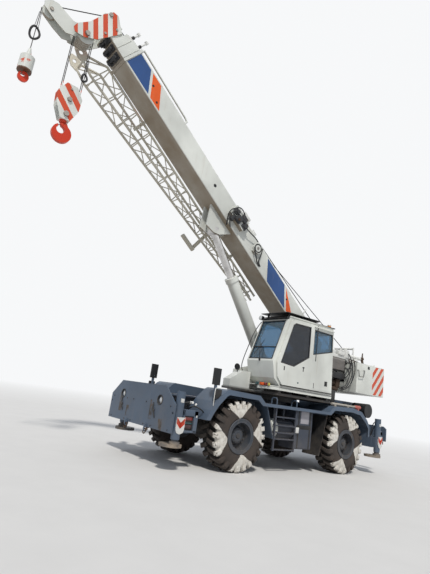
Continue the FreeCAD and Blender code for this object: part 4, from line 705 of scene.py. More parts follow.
# %% Tyre form
LUGS = 24
HALF_OUTLINE = [(0.262, 0.3188), (0.2635, 0.398), (0.270, 0.412), (0.283, 0.425), (0.286, 0.438), (0.290, 0.470),
                (0.2945, 0.520), (0.293, 0.570), (0.286, 0.612), (0.272, 0.660), (0.248, 0.702), (0.205, 0.726),
                (0.140, 0.734), (0.0, 0.737)]
LUG_STATIONS = [  # across the tread, foot radius, top radius, half width, lead round the tyre
    (0.006, 0.722, 0.7975, 0.040, -0.062), (0.110, 0.718, 0.7995, 0.046, -0.020), (0.200, 0.700, 0.7965, 0.050, 0.012),
    (0.258, 0.672, 0.780, 0.053, 0.026), (0.290, 0.634, 0.744, 0.054, 0.033), (0.2985, 0.616, 0.676, 0.046, 0.037)]

def make_lug(bm, side):
    """One lug: a bar with a foot and a top, led from the middle of the tread and folded over the shoulder."""
    rings = []
    for across, foot, top, half, lead in LUG_STATIONS:
        ring = []
        for radius, offset in ((foot, -half * 1.15), (top, -half), (top, half), (foot, half * 1.15)):
            turn = (lead + offset) / 0.8 + (0.0 if side > 0 else math.pi / LUGS)
            ring.append(bm.verts.new((radius * math.sin(turn), side * across, radius * math.cos(turn))))
        rings.append(ring)
    for near, far in zip(rings, rings[1:]):
        for index in range(4):
            bm.faces.new((near[index], near[(index + 1) % 4], far[(index + 1) % 4], far[index]))
    bm.faces.new(rings[0])
    bm.faces.new(rings[-1])
    verts = [vert for ring in rings for vert in ring]
    edges = list({edge for vert in verts for edge in vert.link_edges})
    bevelled = bmesh.ops.bevel(bm, geom=edges, offset=0.009, segments=2, affect="EDGES", profile=0.5, material=-1,
                               clamp_overlap=True)
    lug = list({vert for face in bevelled["faces"] for vert in face.verts})
    around = list({f for v in lug for f in v.link_faces}) + list({e for v in lug for e in v.link_edges}) + lug
    bmesh.ops.spin(bm, geom=around, cent=(0, 0, 0), axis=(0, 1, 0), dvec=(0, 0, 0), use_duplicate=True,
                   angle=2 * math.pi * (LUGS - 1) / LUGS, steps=LUGS - 1)


def make_tyre(name, axle_x, side):
    bm = bmesh.new()
    make_lug(bm, 1)
    make_lug(bm, -1)
    outline = HALF_OUTLINE + [(-y, r) for y, r in reversed(HALF_OUTLINE[:-1])]
    add_turned(bm, (0, 0, 0), (0, 1, 0), outline + outline[:1], sides=72)
    if side < 0:
        bm.transform(Matrix.Diagonal((1, -1, 1, 1)))
    place = Matrix.Translation((axle_x + SLEW_X, side * TYRE_Y, AXLE_Z))
    OTHERS[f"rubber_{name}"] = make_rubber(f"tyre_rubber_{name}", axle_x, side, WEDGE_TURN[name])
    made = finish_piece(f"lugged_tyre_{name}", bm, f"wheel_{name}", f"rubber_{name}", place, 30.0)
    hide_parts(f"tyre_{name}")
    return made


for place_name, (axle, flank) in WHEELS.items():
    lugged = make_tyre(place_name, axle, flank)
print("tyre faces:", len(lugged.data.polygons))

# %% [markdown]
# ## Wheel nuts and lock rings
# The dished rim carries a ring of nuts on its disc, bolts on the hub's cover and a lock ring at the
# flange. They turn with the wheel, so each wheel has its own piece, made from one table.

# %% Wheel hardware
def ring_of_rods(count, ring_radius, low, high, radius, side, sides=6):
    rows = []
    for index in range(count):
        angle = 2 * math.pi * index / count
        x, z = ring_radius * math.sin(angle), ring_radius * math.cos(angle)
        rows.append(((x, side * low, z), (x, side * high, z), radius, radius * 0.86, sides))
    return rows


for place_name, (axle, flank) in WHEELS.items():
    hub = Matrix.Translation((axle + SLEW_X, flank * TYRE_Y, AXLE_Z))
    kit(f"wheel_nuts_{place_name}", f"wheel_{place_name}", "iron", hub,
        rods=ring_of_rods(20, 0.263, 0.058, 0.092, 0.015, flank) + ring_of_rods(12, 0.142, 0.150, 0.176, 0.011, flank)
        + [((0, flank * 0.16, 0), (0, flank * 0.185, 0), 0.062, 0.05, 24)])
    kit(f"lock_ring_{place_name}", f"wheel_{place_name}", "rim", hub, turned=[
        ((0, 0, 0), (0, flank, 0), [(0.262, 0.352), (0.284, 0.352), (0.288, 0.362), (0.288, 0.385), (0.280, 0.394),
                                    (0.262, 0.394), (0.262, 0.352)], 64),
        ((0, 0, 0), (0, flank, 0), [(0.10, 0.2985), (0.125, 0.290), (0.150, 0.2985), (0.10, 0.2985)], 64)])
print("wheels dressed")

# %% [markdown]
# ## Carrier fittings
# Around the bumper sit the headlamps in their cups, shackles in the tow eyes, and the lamp boxes
# that close the ends of the beam tubes. The chevron plates ride on the beams' ends, because they
# slide out with them.

# %% Bumper and deck
def mirrored(rows):
    """The rows and their mirror images in Y, for tables whose first two entries are corners or ends."""
    return list(rows) + [(flip(row[0]), flip(row[1]), *row[2:]) for row in rows]


def flip(point):
    return (point[0], -point[1], point[2])


LAMP_PLACES = [(3.92, y, 1.37) for y in (0.85, -0.85)]
kit("headlamp_bezels", "carrier", "black", turned=[
    (place, (1, 0, 0), [(-0.020, 0.090), (0.0, 0.108), (0.009, 0.108), (0.013, 0.100), (0.002, 0.088),
                        (-0.020, 0.090)], 40) for place in LAMP_PLACES])
kit("headlamp_lenses", "carrier", "clear", turned=[
    (place, (1, 0, 0), [(-0.060, 0.074), (-0.034, 0.073), (-0.014, 0.048), (-0.008, 0.0)], 32)
    for place in LAMP_PLACES])
kit("indicator_lenses", "carrier", "amber", turned=[
    ((3.875, y, 1.318), (1, 0, 0), [(-0.03, 0.028), (0.004, 0.026), (0.012, 0.014), (0.014, 0.0)], 20)
    for y in (0.812, -0.812)])
bent("shackle_bows", "carrier", "rust",
     [[(3.94, y - 0.042, 0.712), (3.945, y - 0.058, 0.670), (3.955, y - 0.030, 0.612), (3.955, y + 0.030, 0.612),
       (3.945, y + 0.058, 0.670), (3.94, y + 0.042, 0.712)] for y in (0.45, -0.45)], 0.013)
kit("shackle_pins", "carrier", "rust", rods=mirrored([
    ((3.94, 0.385, 0.712), (3.94, 0.515, 0.712), 0.016), ((3.94, 0.51, 0.712), (3.94, 0.53, 0.712), 0.026)]))
kit("bumper_bolts", "carrier", "iron", rods=[
    ((3.915, y, z), (3.934, y, z), 0.014, 0.012, 6)
    for y in (-1.30, -0.62, -0.30, 0.30, 0.62, 1.30) for z in (0.80, 1.28)])
bent("lamp_cables", "carrier", "rubber",
     [[(3.915, y - 0.02, 1.27), (3.940, y - 0.01, 1.22), (3.942, y + 0.03, 1.12), (3.935, y + 0.08, 1.02),
       (3.915, y + 0.09, 0.97)] for y in (-0.85, 0.64)], 0.013)
kit("lamp_clips", "carrier", "iron", boxes=[
    ((3.915, y + 0.005, 1.10), (3.952, y + 0.055, 1.15), 0.004) for y in (-0.85, 0.64)])
kit("deck_treads", "carrier", "carrier", boxes=[
    ((x, y * side - 0.012, 1.529), (x + 0.30, y * side + 0.012, 1.536), 0.002)
    for x in (3.36, 3.52) for y in (0.1, 0.2, 0.3, 0.4, 0.7, 0.8) for side in (1, -1)])

# %% Lamp boxes at the ends of the beam tubes
LAMP_BOXES = [(3.20, 3.58, 1), (3.60, 3.865, -1), (-4.02, -3.78, 1), (-3.755, -3.53, -1)]


def on_side(side, low, high, bevel):
    """A box given by its corners for the left side, moved to the side it is wanted on."""
    near, far = sorted((side * low[1], side * high[1]))
    return ((low[0], near, low[2]), (high[0], far, high[2]), bevel)


kit("lamp_frames", "carrier", "carrier", boxes=[
    row for x0, x1, side in LAMP_BOXES for row in (
        on_side(side, (x0, 1.265, 1.12), (x1, 1.335, 1.25), 0.008), on_side(side, (x0, 1.265, 0.78), (x1, 1.335, 0.825), 0.006),
        on_side(side, (x0, 1.265, 0.79), (x0 + 0.10, 1.335, 1.24), 0.008),
        on_side(side, (x1 - 0.035, 1.265, 0.79), (x1, 1.335, 1.24), 0.006))])
kit("lamp_trays", "carrier", "black", boxes=[
    on_side(side, (x0 + 0.02, 1.20, 0.80), (x1 - 0.02, 1.292, 1.20), 0.008) for x0, x1, side in LAMP_BOXES])
for lens_name, low_z, high_z in (("red_lens", 1.03, 1.10), ("teal", 0.955, 0.985), ("dark_red", 0.86, 0.935)):
    kit(f"marker_lamps_{lens_name}", "carrier", lens_name, boxes=[
        on_side(side, (x0 + 0.12, 1.288, low_z), (x1 - 0.055, 1.306, high_z), 0.005) for x0, x1, side in LAMP_BOXES])
kit("frame_studs", "carrier", "white", boxes=[on_side(1, (3.225, 1.333, 1.10), (3.255, 1.341, 1.15), 0.003)],
    rods=[((3.30, 1.30, 1.36), (3.33, 1.37, 1.38), 0.022), ((3.44, 1.30, 1.40), (3.44, 1.40, 1.41), 0.030, 0.026)])
bent("beam_hoses", "carrier", "rubber",
     [[(3.38, 1.12, 1.22), (3.37, 1.28, 1.33), (3.28, 1.33, 1.33), (3.12, 1.33, 1.27), (3.02, 1.28, 1.22), (2.98, 1.15, 1.18)],
      [(3.44, 1.16, 1.30), (3.44, 1.30, 1.42), (3.50, 1.34, 1.41), (3.58, 1.30, 1.38), (3.60, 1.20, 1.34)]], 0.015)

# %% Chevron plates and collars on the outrigger beams
for place_name, (jack_x, flank) in JACKS.items():
    face = flank * 1.4925
    out = (0, flank * 0.004, 0)
    beam = f"beam_{place_name}"
    left, right = jack_x - 0.125, jack_x + 0.085
    rim_line = [(left, 1.09), (right, 1.09), (right, 0.84), (right - 0.03, 0.78), (jack_x - 0.02, 0.752),
                (left + 0.03, 0.78), (left, 0.84)]
    kit(f"chevron_plate_{place_name}", beam, "white",
        boxes=[((jack_x - 0.07, min(flank * 1.45, face), 0.86), (jack_x + 0.07, max(flank * 1.45, face), 1.03), 0.004)],
        plates=[([(x, face, z) for x, z in rim_line], out)])
    middle = (left + right) / 2
    mark = flank * 1.4965
    kit(f"chevron_marks_{place_name}", beam, "red", plates=[
        ([(edge, mark, 1.086), (middle, mark, 0.985), (middle, mark, 0.862), (edge, mark, 0.963)], (0, flank * 0.0015, 0))
        for edge in (left + 0.006, right - 0.006)])
    kit(f"jack_label_{place_name}", beam, "white", boxes=[
        on_side(flank, (jack_x - 0.035, 1.474, 1.385), (jack_x + 0.045, 1.4925, 1.465), 0.003)])
    bent(f"jack_hose_{place_name}", beam, "rubber",
         [[(jack_x + 0.04, flank * 1.18, 1.06), (jack_x + 0.04, flank * 1.19, 1.16), (jack_x + 0.05, flank * 1.24, 1.36),
           (jack_x + 0.04, flank * 1.29, 1.50), (jack_x + 0.03, flank * 1.33, 1.50)],
          [(jack_x - 0.04, flank * 1.15, 1.06), (jack_x - 0.04, flank * 1.16, 1.14), (jack_x - 0.05, flank * 1.22, 1.30),
           (jack_x - 0.04, flank * 1.28, 1.42), (jack_x - 0.03, flank * 1.33, 1.42)]], 0.013)
print("outriggers dressed")

# %% Fender, ladder and tank fittings
kit("wing_mirrors", "carrier", "black", both=True, boxes=[
    ((2.735, 1.425, 1.555), (2.925, 1.465, 1.765), 0.014)],
    rods=[((2.90, 1.44, 1.30), (2.90, 1.44, 1.60), 0.011), ((2.76, 1.44, 1.50), (2.76, 1.44, 1.60), 0.011)])
bent("mirror_stays", "carrier", "white", [
    [(2.95, 1.485, 1.40), (2.955, 1.485, 1.60), (2.945, 1.48, 1.775), (2.90, 1.48, 1.79), (2.78, 1.48, 1.785)]], 0.008)
kit("mirror_glass", "carrier", "chrome", both=True, boxes=[((2.7585, 1.343, 1.90), (2.7655, 1.387, 2.19), 0.003)])
kit("tank_straps", "carrier", "black", both=True, boxes=[
    ((x, 1.345, 0.60), (x + 0.05, 1.354, 1.58), 0.003) for x in (-0.53, -0.08)])
kit("tank_label", "carrier", "label", boxes=[((-0.44, 1.349, 1.22), (-0.12, 1.356, 1.53), 0.003)])
kit("ladder_label", "carrier", "white", boxes=[((-0.01, 1.405, 0.98), (0.15, 1.413, 1.12), 0.003)])
kit("tank_band", "carrier", "black", boxes=[((-0.55, 1.349, 1.08), (0.02, 1.355, 1.18), 0.002)])
kit("ladder_treads", "carrier", "iron", both=True, boxes=[
    ((x, 1.366, z + 0.028), (x + 0.02, 1.444, z + 0.036), 0.001)
    for z in (0.54, 0.79, 0.94, 1.11, 1.31) for x in (0.20, 0.30, 0.40, 0.50, 0.60, 0.70, 0.80)])
kit("reservoir_caps", "carrier", "cream", both=True, turned=[
    ((0.715, 1.13, 1.03), (1, 0, 0), [(0.0, 0.2305), (0.0, 0.238), (0.155, 0.238), (0.187, 0.225), (0.20, 0.16),
                                      (0.205, 0.0), (0.157, 0.0), (0.157, 0.2305), (0.0, 0.2305)], 48)])
kit("deck_pole", "carrier", "pole", rods=[((-1.34, 1.36, 1.852), (-2.44, 1.36, 1.852), 0.034)],
    boxes=[((x, 1.31, z), (x + 0.05, 1.41, 1.835), 0.004) for x, z in ((-1.50, 1.775), (-2.10, 1.80))])
kit("deck_bottle", "carrier", "bottle", turned=[
    ((-2.43, 1.36, 1.852), (-1, 0, 0), [(0.0, 0.0), (0.0, 0.035), (0.03, 0.055), (0.25, 0.055), (0.285, 0.030),
                                       (0.29, 0.0)], 24)],
    boxes=[((-2.60, 1.31, 1.72), (-2.55, 1.41, 1.81), 0.004)])
kit("hood_latches", "carrier", "black", both=True, boxes=[
    ((x, 0.655, 1.905), (x + 0.09, 0.672, 1.935), 0.004) for x in (-2.55, -2.95, -3.55)])
kit("hood_seams", "carrier", "black", both=True, boxes=[
    ((x, 0.658, 1.56), (x + 0.006, 0.6605, 1.985), 0.0) for x in (-2.44, -3.07, -3.40)])
kit("prop_shafts", "carrier", "iron", rods=[
    ((1.0, 0, 0.88), (1.76, 0, 0.86), 0.045), ((1.0, 0, 0.88), (1.07, 0, 0.88), 0.09), ((1.70, 0, 0.86), (1.76, 0, 0.86), 0.08),
    ((-1.0, 0, 0.88), (-1.76, 0, 0.86), 0.045), ((-1.0, 0, 0.88), (-1.07, 0, 0.88), 0.09),
    ((-1.70, 0, 0.86), (-1.76, 0, 0.86), 0.08)])
kit("rear_lamps", "carrier", "red_lens", both=True, boxes=[
    ((-4.384, y, 0.85), (-4.362, y + 0.16, 0.94), 0.004) for y in (0.80, 1.00)])
print("carrier dressed")

# %% [markdown]
# ## Cab
# Rubber gaskets frame each pane, a wiper parks on the windscreen, and dark mouldings, locks and a
# small air grille sit on the side. The door slides back over the cab's side, so nothing there may
# stand out more than the gap behind the door.

# %% Seat and console
def add_cushion(bm, low, high, corner, crown, lean=0.0):
    """A closed pad: a rounded block whose wide faces swell and whose sides pull in between the corners."""
    low, high = Vector(low), Vector(high)
    middle, half = (low + high) / 2, (high - low) / 2
    made = bmesh.ops.create_cube(bm, size=2.0)
    edges = list({edge for vert in made["verts"] for edge in vert.link_edges})
    bmesh.ops.subdivide_edges(bm, edges=edges, cuts=9, use_grid_fill=True)
    core = half - Vector((corner, corner, corner))
    thin = min(range(3), key=lambda axis: half[axis])
    wide = [axis for axis in range(3) if axis != thin]
    for vert in bm.verts:
        unit = vert.co.copy()
        point = Vector([unit[axis] * half[axis] for axis in range(3)])
        inner = Vector([max(-core[axis], min(core[axis], point[axis])) for axis in range(3)])
        away = point - inner
        point = inner + away.normalized() * corner if away.length else inner
        bow = (1 - unit[wide[0]] ** 2) * (1 - unit[wide[1]] ** 2)
        point[thin] += crown * bow * unit[thin]
        for axis, other in (wide, wide[::-1]):
            point[axis] -= crown * 0.5 * (1 - unit[other] ** 2) * unit[axis] ** 3
        point.x -= lean * (point.z + half.z)
        vert.co = middle + point


def make_pad(name, low, high, corner, crown, lean=0.0):
    bm = bmesh.new()
    add_cushion(bm, low, high, corner, crown, lean)
    pad = finish_piece(name, bm, "turntable", "cloth", smooth=60.0)
    finer = pad.modifiers.new("finer", "SUBSURF")
    finer.levels = finer.render_levels = 1
    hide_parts("cab_interior")


make_pad("seat_cushion", (-0.575, 0.775, 2.450), (-0.115, 1.185, 2.565), 0.045, 0.016)
make_pad("seat_back", (-0.640, 0.785, 2.575), (-0.510, 1.175, 3.215), 0.045, 0.016)
bent("seat_piping", "turntable", "rubber", [
    [(x, y, 2.508) for x, y in ((-0.555, 0.779), (-0.135, 0.779), (-0.119, 0.81), (-0.119, 1.15), (-0.135, 1.181),
                               (-0.555, 1.181), (-0.571, 1.15), (-0.571, 0.81))]], 0.006, closed=True)
kit("slew_guard", "turntable", "black", turned=[
    ((0, 0, 0), (0, 0, 1), [(1.705, 0.955), (1.705, 0.935), (1.745, 0.930), (1.8405, 0.930), (1.8405, 0.985),
                            (1.826, 0.985), (1.818, 0.955), (1.705, 0.955)], 72)])
kit("cab_valance", "turntable", "cream", plates=[
    ([(-1.19, 1.438, 1.962), (0.90, 1.438, 1.962), (0.90, 1.438, 2.03), (-1.19, 1.438, 2.03)], (0, 0.008, 0)),
    ([(0.90, 1.438, 1.962), (1.07, 1.30, 1.962), (1.07, 1.30, 2.03), (0.90, 1.438, 2.03)], (0.006, 0.007, 0)),
    ([(1.07, 1.30, 1.962), (1.165, 0.92, 1.962), (1.165, 0.92, 2.03), (1.07, 1.30, 2.03)], (0.008, 0.002, 0))])
cab_fittings = kit("seat_base_and_console", "turntable", "plastic", boxes=[
    ((-0.50, 0.82, 2.405), (-0.18, 1.14, 2.452), 0.010), ((-0.46, 0.87, 2.14), (-0.24, 1.09, 2.41), 0.020),
    ((-0.52, 0.84, 2.105), (-0.16, 0.88, 2.145), 0.006), ((-0.52, 1.08, 2.105), (-0.16, 1.12, 2.145), 0.006),
    ((-0.50, 1.19, 2.58), (-0.18, 1.25, 2.66), 0.015), ((-0.50, 0.71, 2.58), (-0.18, 0.77, 2.66), 0.015),
    ((-0.45, 1.13, 2.42), (-0.38, 1.24, 2.60), 0.008), ((-0.45, 0.72, 2.42), (-0.38, 0.83, 2.60), 0.008)],
    plates=[([(0.46, 0.84, 2.11), (0.81, 0.84, 2.11), (0.81, 0.84, 2.52), (0.70, 0.84, 2.66), (0.50, 0.84, 2.58)],
             (0, 0.28, 0))],
    rods=[((0.56, 0.98, 2.58), (0.42, 0.98, 2.82), 0.026, 0.022)] + [
        ((-0.22, y, 2.65), (-0.20, y, 2.80), 0.008, 0.012, 10) for y in (1.205, 1.235, 0.725, 0.755)],
    turned=[((0.42, 0.98, 2.83), (-0.5, 0, 0.866), [(-0.011, 0.172), (-0.011, 0.194), (0.011, 0.194), (0.011, 0.172),
                                                   (-0.011, 0.172)], 40)])
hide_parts("cab_interior")

# %% Gaskets and wiper
REAR_WINDOW = [(-0.285, 3.05), (-0.275, 3.71), (-1.05, 3.71), (-1.085, 3.24)]
DOOR_WINDOW = [(-0.06, 2.93), (0.50, 2.62), (0.985, 2.65), (0.64, 3.66), (0.56, 3.715), (-0.045, 3.735)]
FAR_WINDOW = [(-0.95, 2.95), (0.48, 2.64), (1.06, 2.68), (0.74, 3.64), (0.64, 3.72), (-0.95, 3.72)]
SCREEN = [(1.2123, 2.7067), (0.8517, 3.7433)]

def gasket(name, body, corners, radius=0.014):
    return bent(name, body, "rubber", [corners], radius, closed=True, round_bends=False)


def flat_gasket(name, body, outline, y, radius):
    """A round seal pressed flat against its pane, so that it is wide to see and still thin."""
    seal = gasket(name, body, [(x, y, z) for x, z in outline], radius)
    for vert in seal.data.vertices:
        vert.co.y = y + (vert.co.y - y) * 0.45


flat_gasket("gasket_rear_window", "turntable", REAR_WINDOW, 1.4475, 0.020)
flat_gasket("gasket_far_window", "turntable", FAR_WINDOW, 0.511, 0.022)
flat_gasket("gasket_door", "cab_door", DOOR_WINDOW, 1.493, 0.021)
(low_x, low_z), (high_x, high_z) = SCREEN
gasket("gasket_windscreen", "turntable", [(low_x, 0.57, low_z), (low_x, 1.39, low_z), (high_x, 1.39, high_z),
                                        (high_x, 0.57, high_z)], 0.016)
kit("windscreen_bar", "turntable", "rubber", rods=[((1.104, 0.57, 3.02), (1.104, 1.39, 3.02), 0.014)])
kit("wiper", "turntable", "black", rods=[
    ((1.245, 0.98, 2.68), (1.145, 0.86, 3.05), 0.009, 0.006, 10), ((1.228, 0.74, 2.80), (1.088, 0.93, 3.20), 0.007),
    ((1.225, 0.98, 2.64), (1.258, 0.98, 2.70), 0.024)])

# %% Locks, mouldings, lamps
kit("side_moulding", "turntable", "black", boxes=[
    ((-0.405, 1.449, 2.88), (-0.378, 1.456, 3.85), 0.002), ((-0.395, 1.449, 2.16), (-0.380, 1.456, 2.30), 0.002),
    ((-0.96, 1.449, 2.27), (-0.84, 1.453, 2.40), 0.002)]
    + [((-0.955, 1.452, 2.285 + 0.02 * row), (-0.845, 1.4565, 2.293 + 0.02 * row), 0.001) for row in range(6)])
kit("door_locks", "cab_door", "black", boxes=[
    ((0.835, 1.494, 2.47), (0.868, 1.5055, 2.57), 0.004), ((0.095, 1.494, 2.62), (0.165, 1.5055, 2.65), 0.004),
    ((0.118, 1.494, 2.53), (0.142, 1.5055, 2.63), 0.003)])
kit("door_label", "cab_door", "teal", boxes=[((0.27, 1.495, 2.20), (0.32, 1.4995, 2.24), 0.001)])
kit("roof_visor", "turntable", "black", plates=[
    ([(0.90, 0.50, 3.950), (0.90, 1.47, 3.950), (-0.44, 1.47, 3.972), (-0.52, 1.30, 3.974), (-0.52, 0.66, 3.974),
      (-0.44, 0.50, 3.972)], (0, 0, 0.018))],
    boxes=[((x, y, 3.885), (x + 0.05, y + 0.03, 3.962), 0.003) for x in (0.70, -0.36) for y in (0.60, 1.36)])
kit("cab_lamps_clear", "turntable", "clear", turned=[
    ((0.95, 0.53, 3.84), (1, 0, 0), [(-0.002, 0.058), (0.006, 0.055), (0.018, 0.030), (0.020, 0.0)], 24)])
kit("beacon_dome", "turntable", "amber", turned=[
    ((-1.04, 1.31, 3.92), (0, 0, 1), [(0.004, 0.054), (0.07, 0.0535), (0.094, 0.040), (0.100, 0.0)], 24)])
bent("far_handrail", "turntable", "black",
     [[(0.86, 0.50, 3.74), (1.02, 0.46, 3.50), (1.18, 0.45, 3.06), (1.34, 0.45, 2.60), (1.36, 0.46, 2.42),
       (1.30, 0.50, 2.30), (1.16, 0.52, 2.28)]], 0.011)
kit("foot_mirror", "turntable", "black", rods=[((1.52, 0.50, 2.22), (1.52, 0.50, 2.38), 0.011)],
    turned=[((1.53, 0.50, 2.42), (1, 0.2, -0.2), [(-0.02, 0.0), (-0.02, 0.05), (0.0, 0.085), (0.018, 0.085),
                                                 (0.018, 0.0)], 24)])
for lens_name, lens_y, half in (("teal", 0.94, 0.045), ("orange", 1.075, 0.060), ("red_lens", 1.18, 0.042),
                                ("yellow", 1.275, 0.025)):
    lens_x = 1.105 + (1.3 - lens_y) * 0.1 / 0.4
    kit(f"ledge_lamp_{lens_name}", "turntable", lens_name, boxes=[
        ((lens_x - 0.025, lens_y - half, 2.040), (lens_x + 0.016, lens_y + half, 2.108), 0.005)])
print("cab dressed")

# %% [markdown]
# ## Machinery behind the cab
# Valve blocks, motors and looping hoses fill the space between cab and counterweight, and the two
# drums carry their wire rope. The coil is one scalloped outline spun round the drum, which reads as
# laid turns at a fraction of a real helix's faces.

# %% Winch ropes, valves and hoses
def coil_outline(low, high, radius, wire):
    """Half circles side by side: the outline of rope laid on a drum."""
    turns = int((high - low) / (2 * wire))
    points = [(low, radius - 0.01)]
    for turn in range(turns):
        middle = low + wire + turn * 2 * wire
        points += [(middle - wire * 0.9, radius + wire * 0.3), (middle, radius + wire), (middle + wire * 0.9, radius + wire * 0.3)]
    return points + [(high, radius - 0.01), (low, radius - 0.01)]


kit("drum_ropes", "turntable", "rope", turned=[
    ((x, 0, 2.97), (0, 1, 0), coil_outline(-0.272, 0.272, 0.185, 0.0135), 40) for x in (-2.76, -3.26)])
kit("valve_blocks", "turntable", "white", boxes=[
    ((-2.46, 0.390, 2.98), (-2.20, 0.56, 3.20), 0.01), ((-2.10, 0.390, 2.72), (-1.78, 0.54, 2.94), 0.01),
    ((-1.62, 0.60, 2.475), (-1.45, 0.74, 2.62), 0.008), ((-2.32, 0.72, 3.215), (-1.50, 1.06, 3.315), 0.012),
    ((-2.16, 0.96, 3.31), (-1.88, 1.10, 3.43), 0.010), ((-2.42, 0.90, 3.26), (-2.22, 1.08, 3.49), 0.012),
    ((-2.66, 0.70, 3.22), (-2.46, 0.90, 3.40), 0.012), ((-1.80, 0.84, 3.31), (-1.60, 1.04, 3.42), 0.010),
    ((-2.96, 0.60, 3.24), (-2.72, 0.84, 3.44), 0.012), ((-3.22, 0.66, 3.22), (-3.04, 0.84, 3.37), 0.010),
    ((-2.52, 0.52, 3.26), (-2.34, 0.70, 3.46), 0.012)],
    turned=[((x, 0.582, 2.97), (0, 1, 0), [(-0.01, 0.0), (-0.01, 0.128), (0.02, 0.128), (0.03, 0.095), (0.12, 0.085),
                                          (0.14, 0.05), (0.145, 0.0)], 24) for x in (-2.76, -3.26)]
    + [((-2.42, 0.80, 3.40), (-1, 0, 0), [(0.0, 0.0), (0.0, 0.045), (0.04, 0.060), (0.92, 0.060), (0.96, 0.045),
                                         (1.0, 0.030), (1.0, 0.0)], 24)],
    rods=[((-2.32, 1.00, 3.48), (-2.32, 1.00, 3.55), 0.052, 0.045), ((-2.02, 1.03, 3.42), (-2.02, 1.03, 3.50), 0.036),
          ((-2.12, 0.90, 3.31), (-2.12, 0.90, 3.46), 0.028), ((-2.56, 0.84, 3.39), (-2.56, 0.84, 3.50), 0.030),
          ((-2.02, 1.03, 3.46), (-2.30, 1.01, 3.46), 0.026), ((-2.20, 0.98, 3.36), (-2.58, 0.90, 3.36), 0.030),
          ((-2.84, 0.72, 3.43), (-2.84, 0.72, 3.53), 0.040, 0.034), ((-3.12, 0.76, 3.36), (-3.12, 0.76, 3.46), 0.032),
          ((-2.43, 0.60, 3.45), (-2.43, 0.60, 3.55), 0.030)])
kit("machine_frame", "turntable", "black", boxes=[
    ((-1.54, 0.98, 1.895), (-1.50, 1.02, 3.22), 0.004), ((-1.54, 0.72, 1.895), (-1.50, 0.76, 3.22), 0.004),
    ((-2.30, 0.74, 2.44), (-2.26, 0.78, 3.22), 0.004), ((-2.30, 0.74, 2.44), (-1.50, 0.78, 2.50), 0.004),
    ((-2.685, 0.78, 3.12), (-1.50, 0.82, 3.165), 0.004), ((-2.685, 1.00, 3.12), (-1.50, 1.04, 3.165), 0.004),
    ((-2.30, 1.00, 2.82), (-1.50, 1.04, 2.86), 0.004), ((-2.30, 0.74, 2.56), (-2.26, 1.04, 2.60), 0.004),
    ((-2.30, 1.00, 2.56), (-2.26, 1.04, 3.14), 0.004), ((-2.22, 0.76, 2.60), (-1.36, 1.12, 2.78), 0.015),
    ((-1.75, 0.80, 1.895), (-1.22, 1.16, 2.24), 0.015)],
    rods=[((-1.48, 0.98, 2.23), (-1.48, 0.98, 2.28), 0.05), ((-3.26, 0.36, 3.10), (-3.26, 0.80, 3.36), 0.022),
          ((-2.80, 0.36, 3.10), (-2.80, 0.80, 3.36), 0.022)])
kit("oil_cooler", "turntable", "tin", boxes=[((-2.20, 0.76, 2.865), (-1.36, 1.085, 3.20), 0.010)] + [
    ((-2.205, 0.80, 2.90 + 0.03 * fin), (-1.40, 1.094, 2.906 + 0.03 * fin), 0.0) for fin in range(9)])
kit("pump_cluster", "turntable", "rust", turned=[
    ((-1.40, 0.94, 2.47), (-1, 0, 0), [(0.0, 0.0), (0.0, 0.10), (0.30, 0.105), (0.32, 0.075), (0.62, 0.070), (0.66, 0.045),
                                      (0.72, 0.040), (0.72, 0.0)], 24),
    ((-1.50, 0.98, 2.30), (-1, 0, 0), [(0.0, 0.0), (0.0, 0.060), (0.52, 0.060), (0.55, 0.030), (0.55, 0.0)], 20)],
    boxes=[((-2.10, 0.84, 2.34), (-1.92, 1.04, 2.58), 0.012)])
kit("valve_fittings", "turntable", "rust", rods=[
    ((-2.42 + 0.06 * n, 0.60, 3.195), (-2.42 + 0.06 * n, 0.60, 3.24), 0.016, 0.014, 6) for n in range(4)] + [
    ((-2.06 + 0.07 * n, 0.53, 2.83), (-2.06 + 0.07 * n, 0.575, 2.83), 0.017, 0.015, 6) for n in range(4)] + [
    ((-2.0 + 0.09 * n, 0.70, 2.47), (-2.0 + 0.09 * n, 0.70, 2.52), 0.018, 0.016, 6) for n in range(5)] + [
    ((-2.58 + 0.13 * n, 1.15, 3.16), (-2.58 + 0.13 * n, 1.15, 3.23), 0.018, 0.016, 6) for n in range(3)] + [
    ((-3.42, 0.80, 3.40), (-3.56, 0.80, 3.42), 0.050, 0.040, 8), ((-3.50, 0.80, 3.40), (-3.52, 0.80, 3.60), 0.026, 0.018, 8),
    ((-3.48, 0.84, 3.28), (-3.50, 0.80, 3.40), 0.038, 0.038, 8), ((-3.54, 0.76, 3.33), (-3.60, 0.76, 3.48), 0.024, 0.024, 8)])
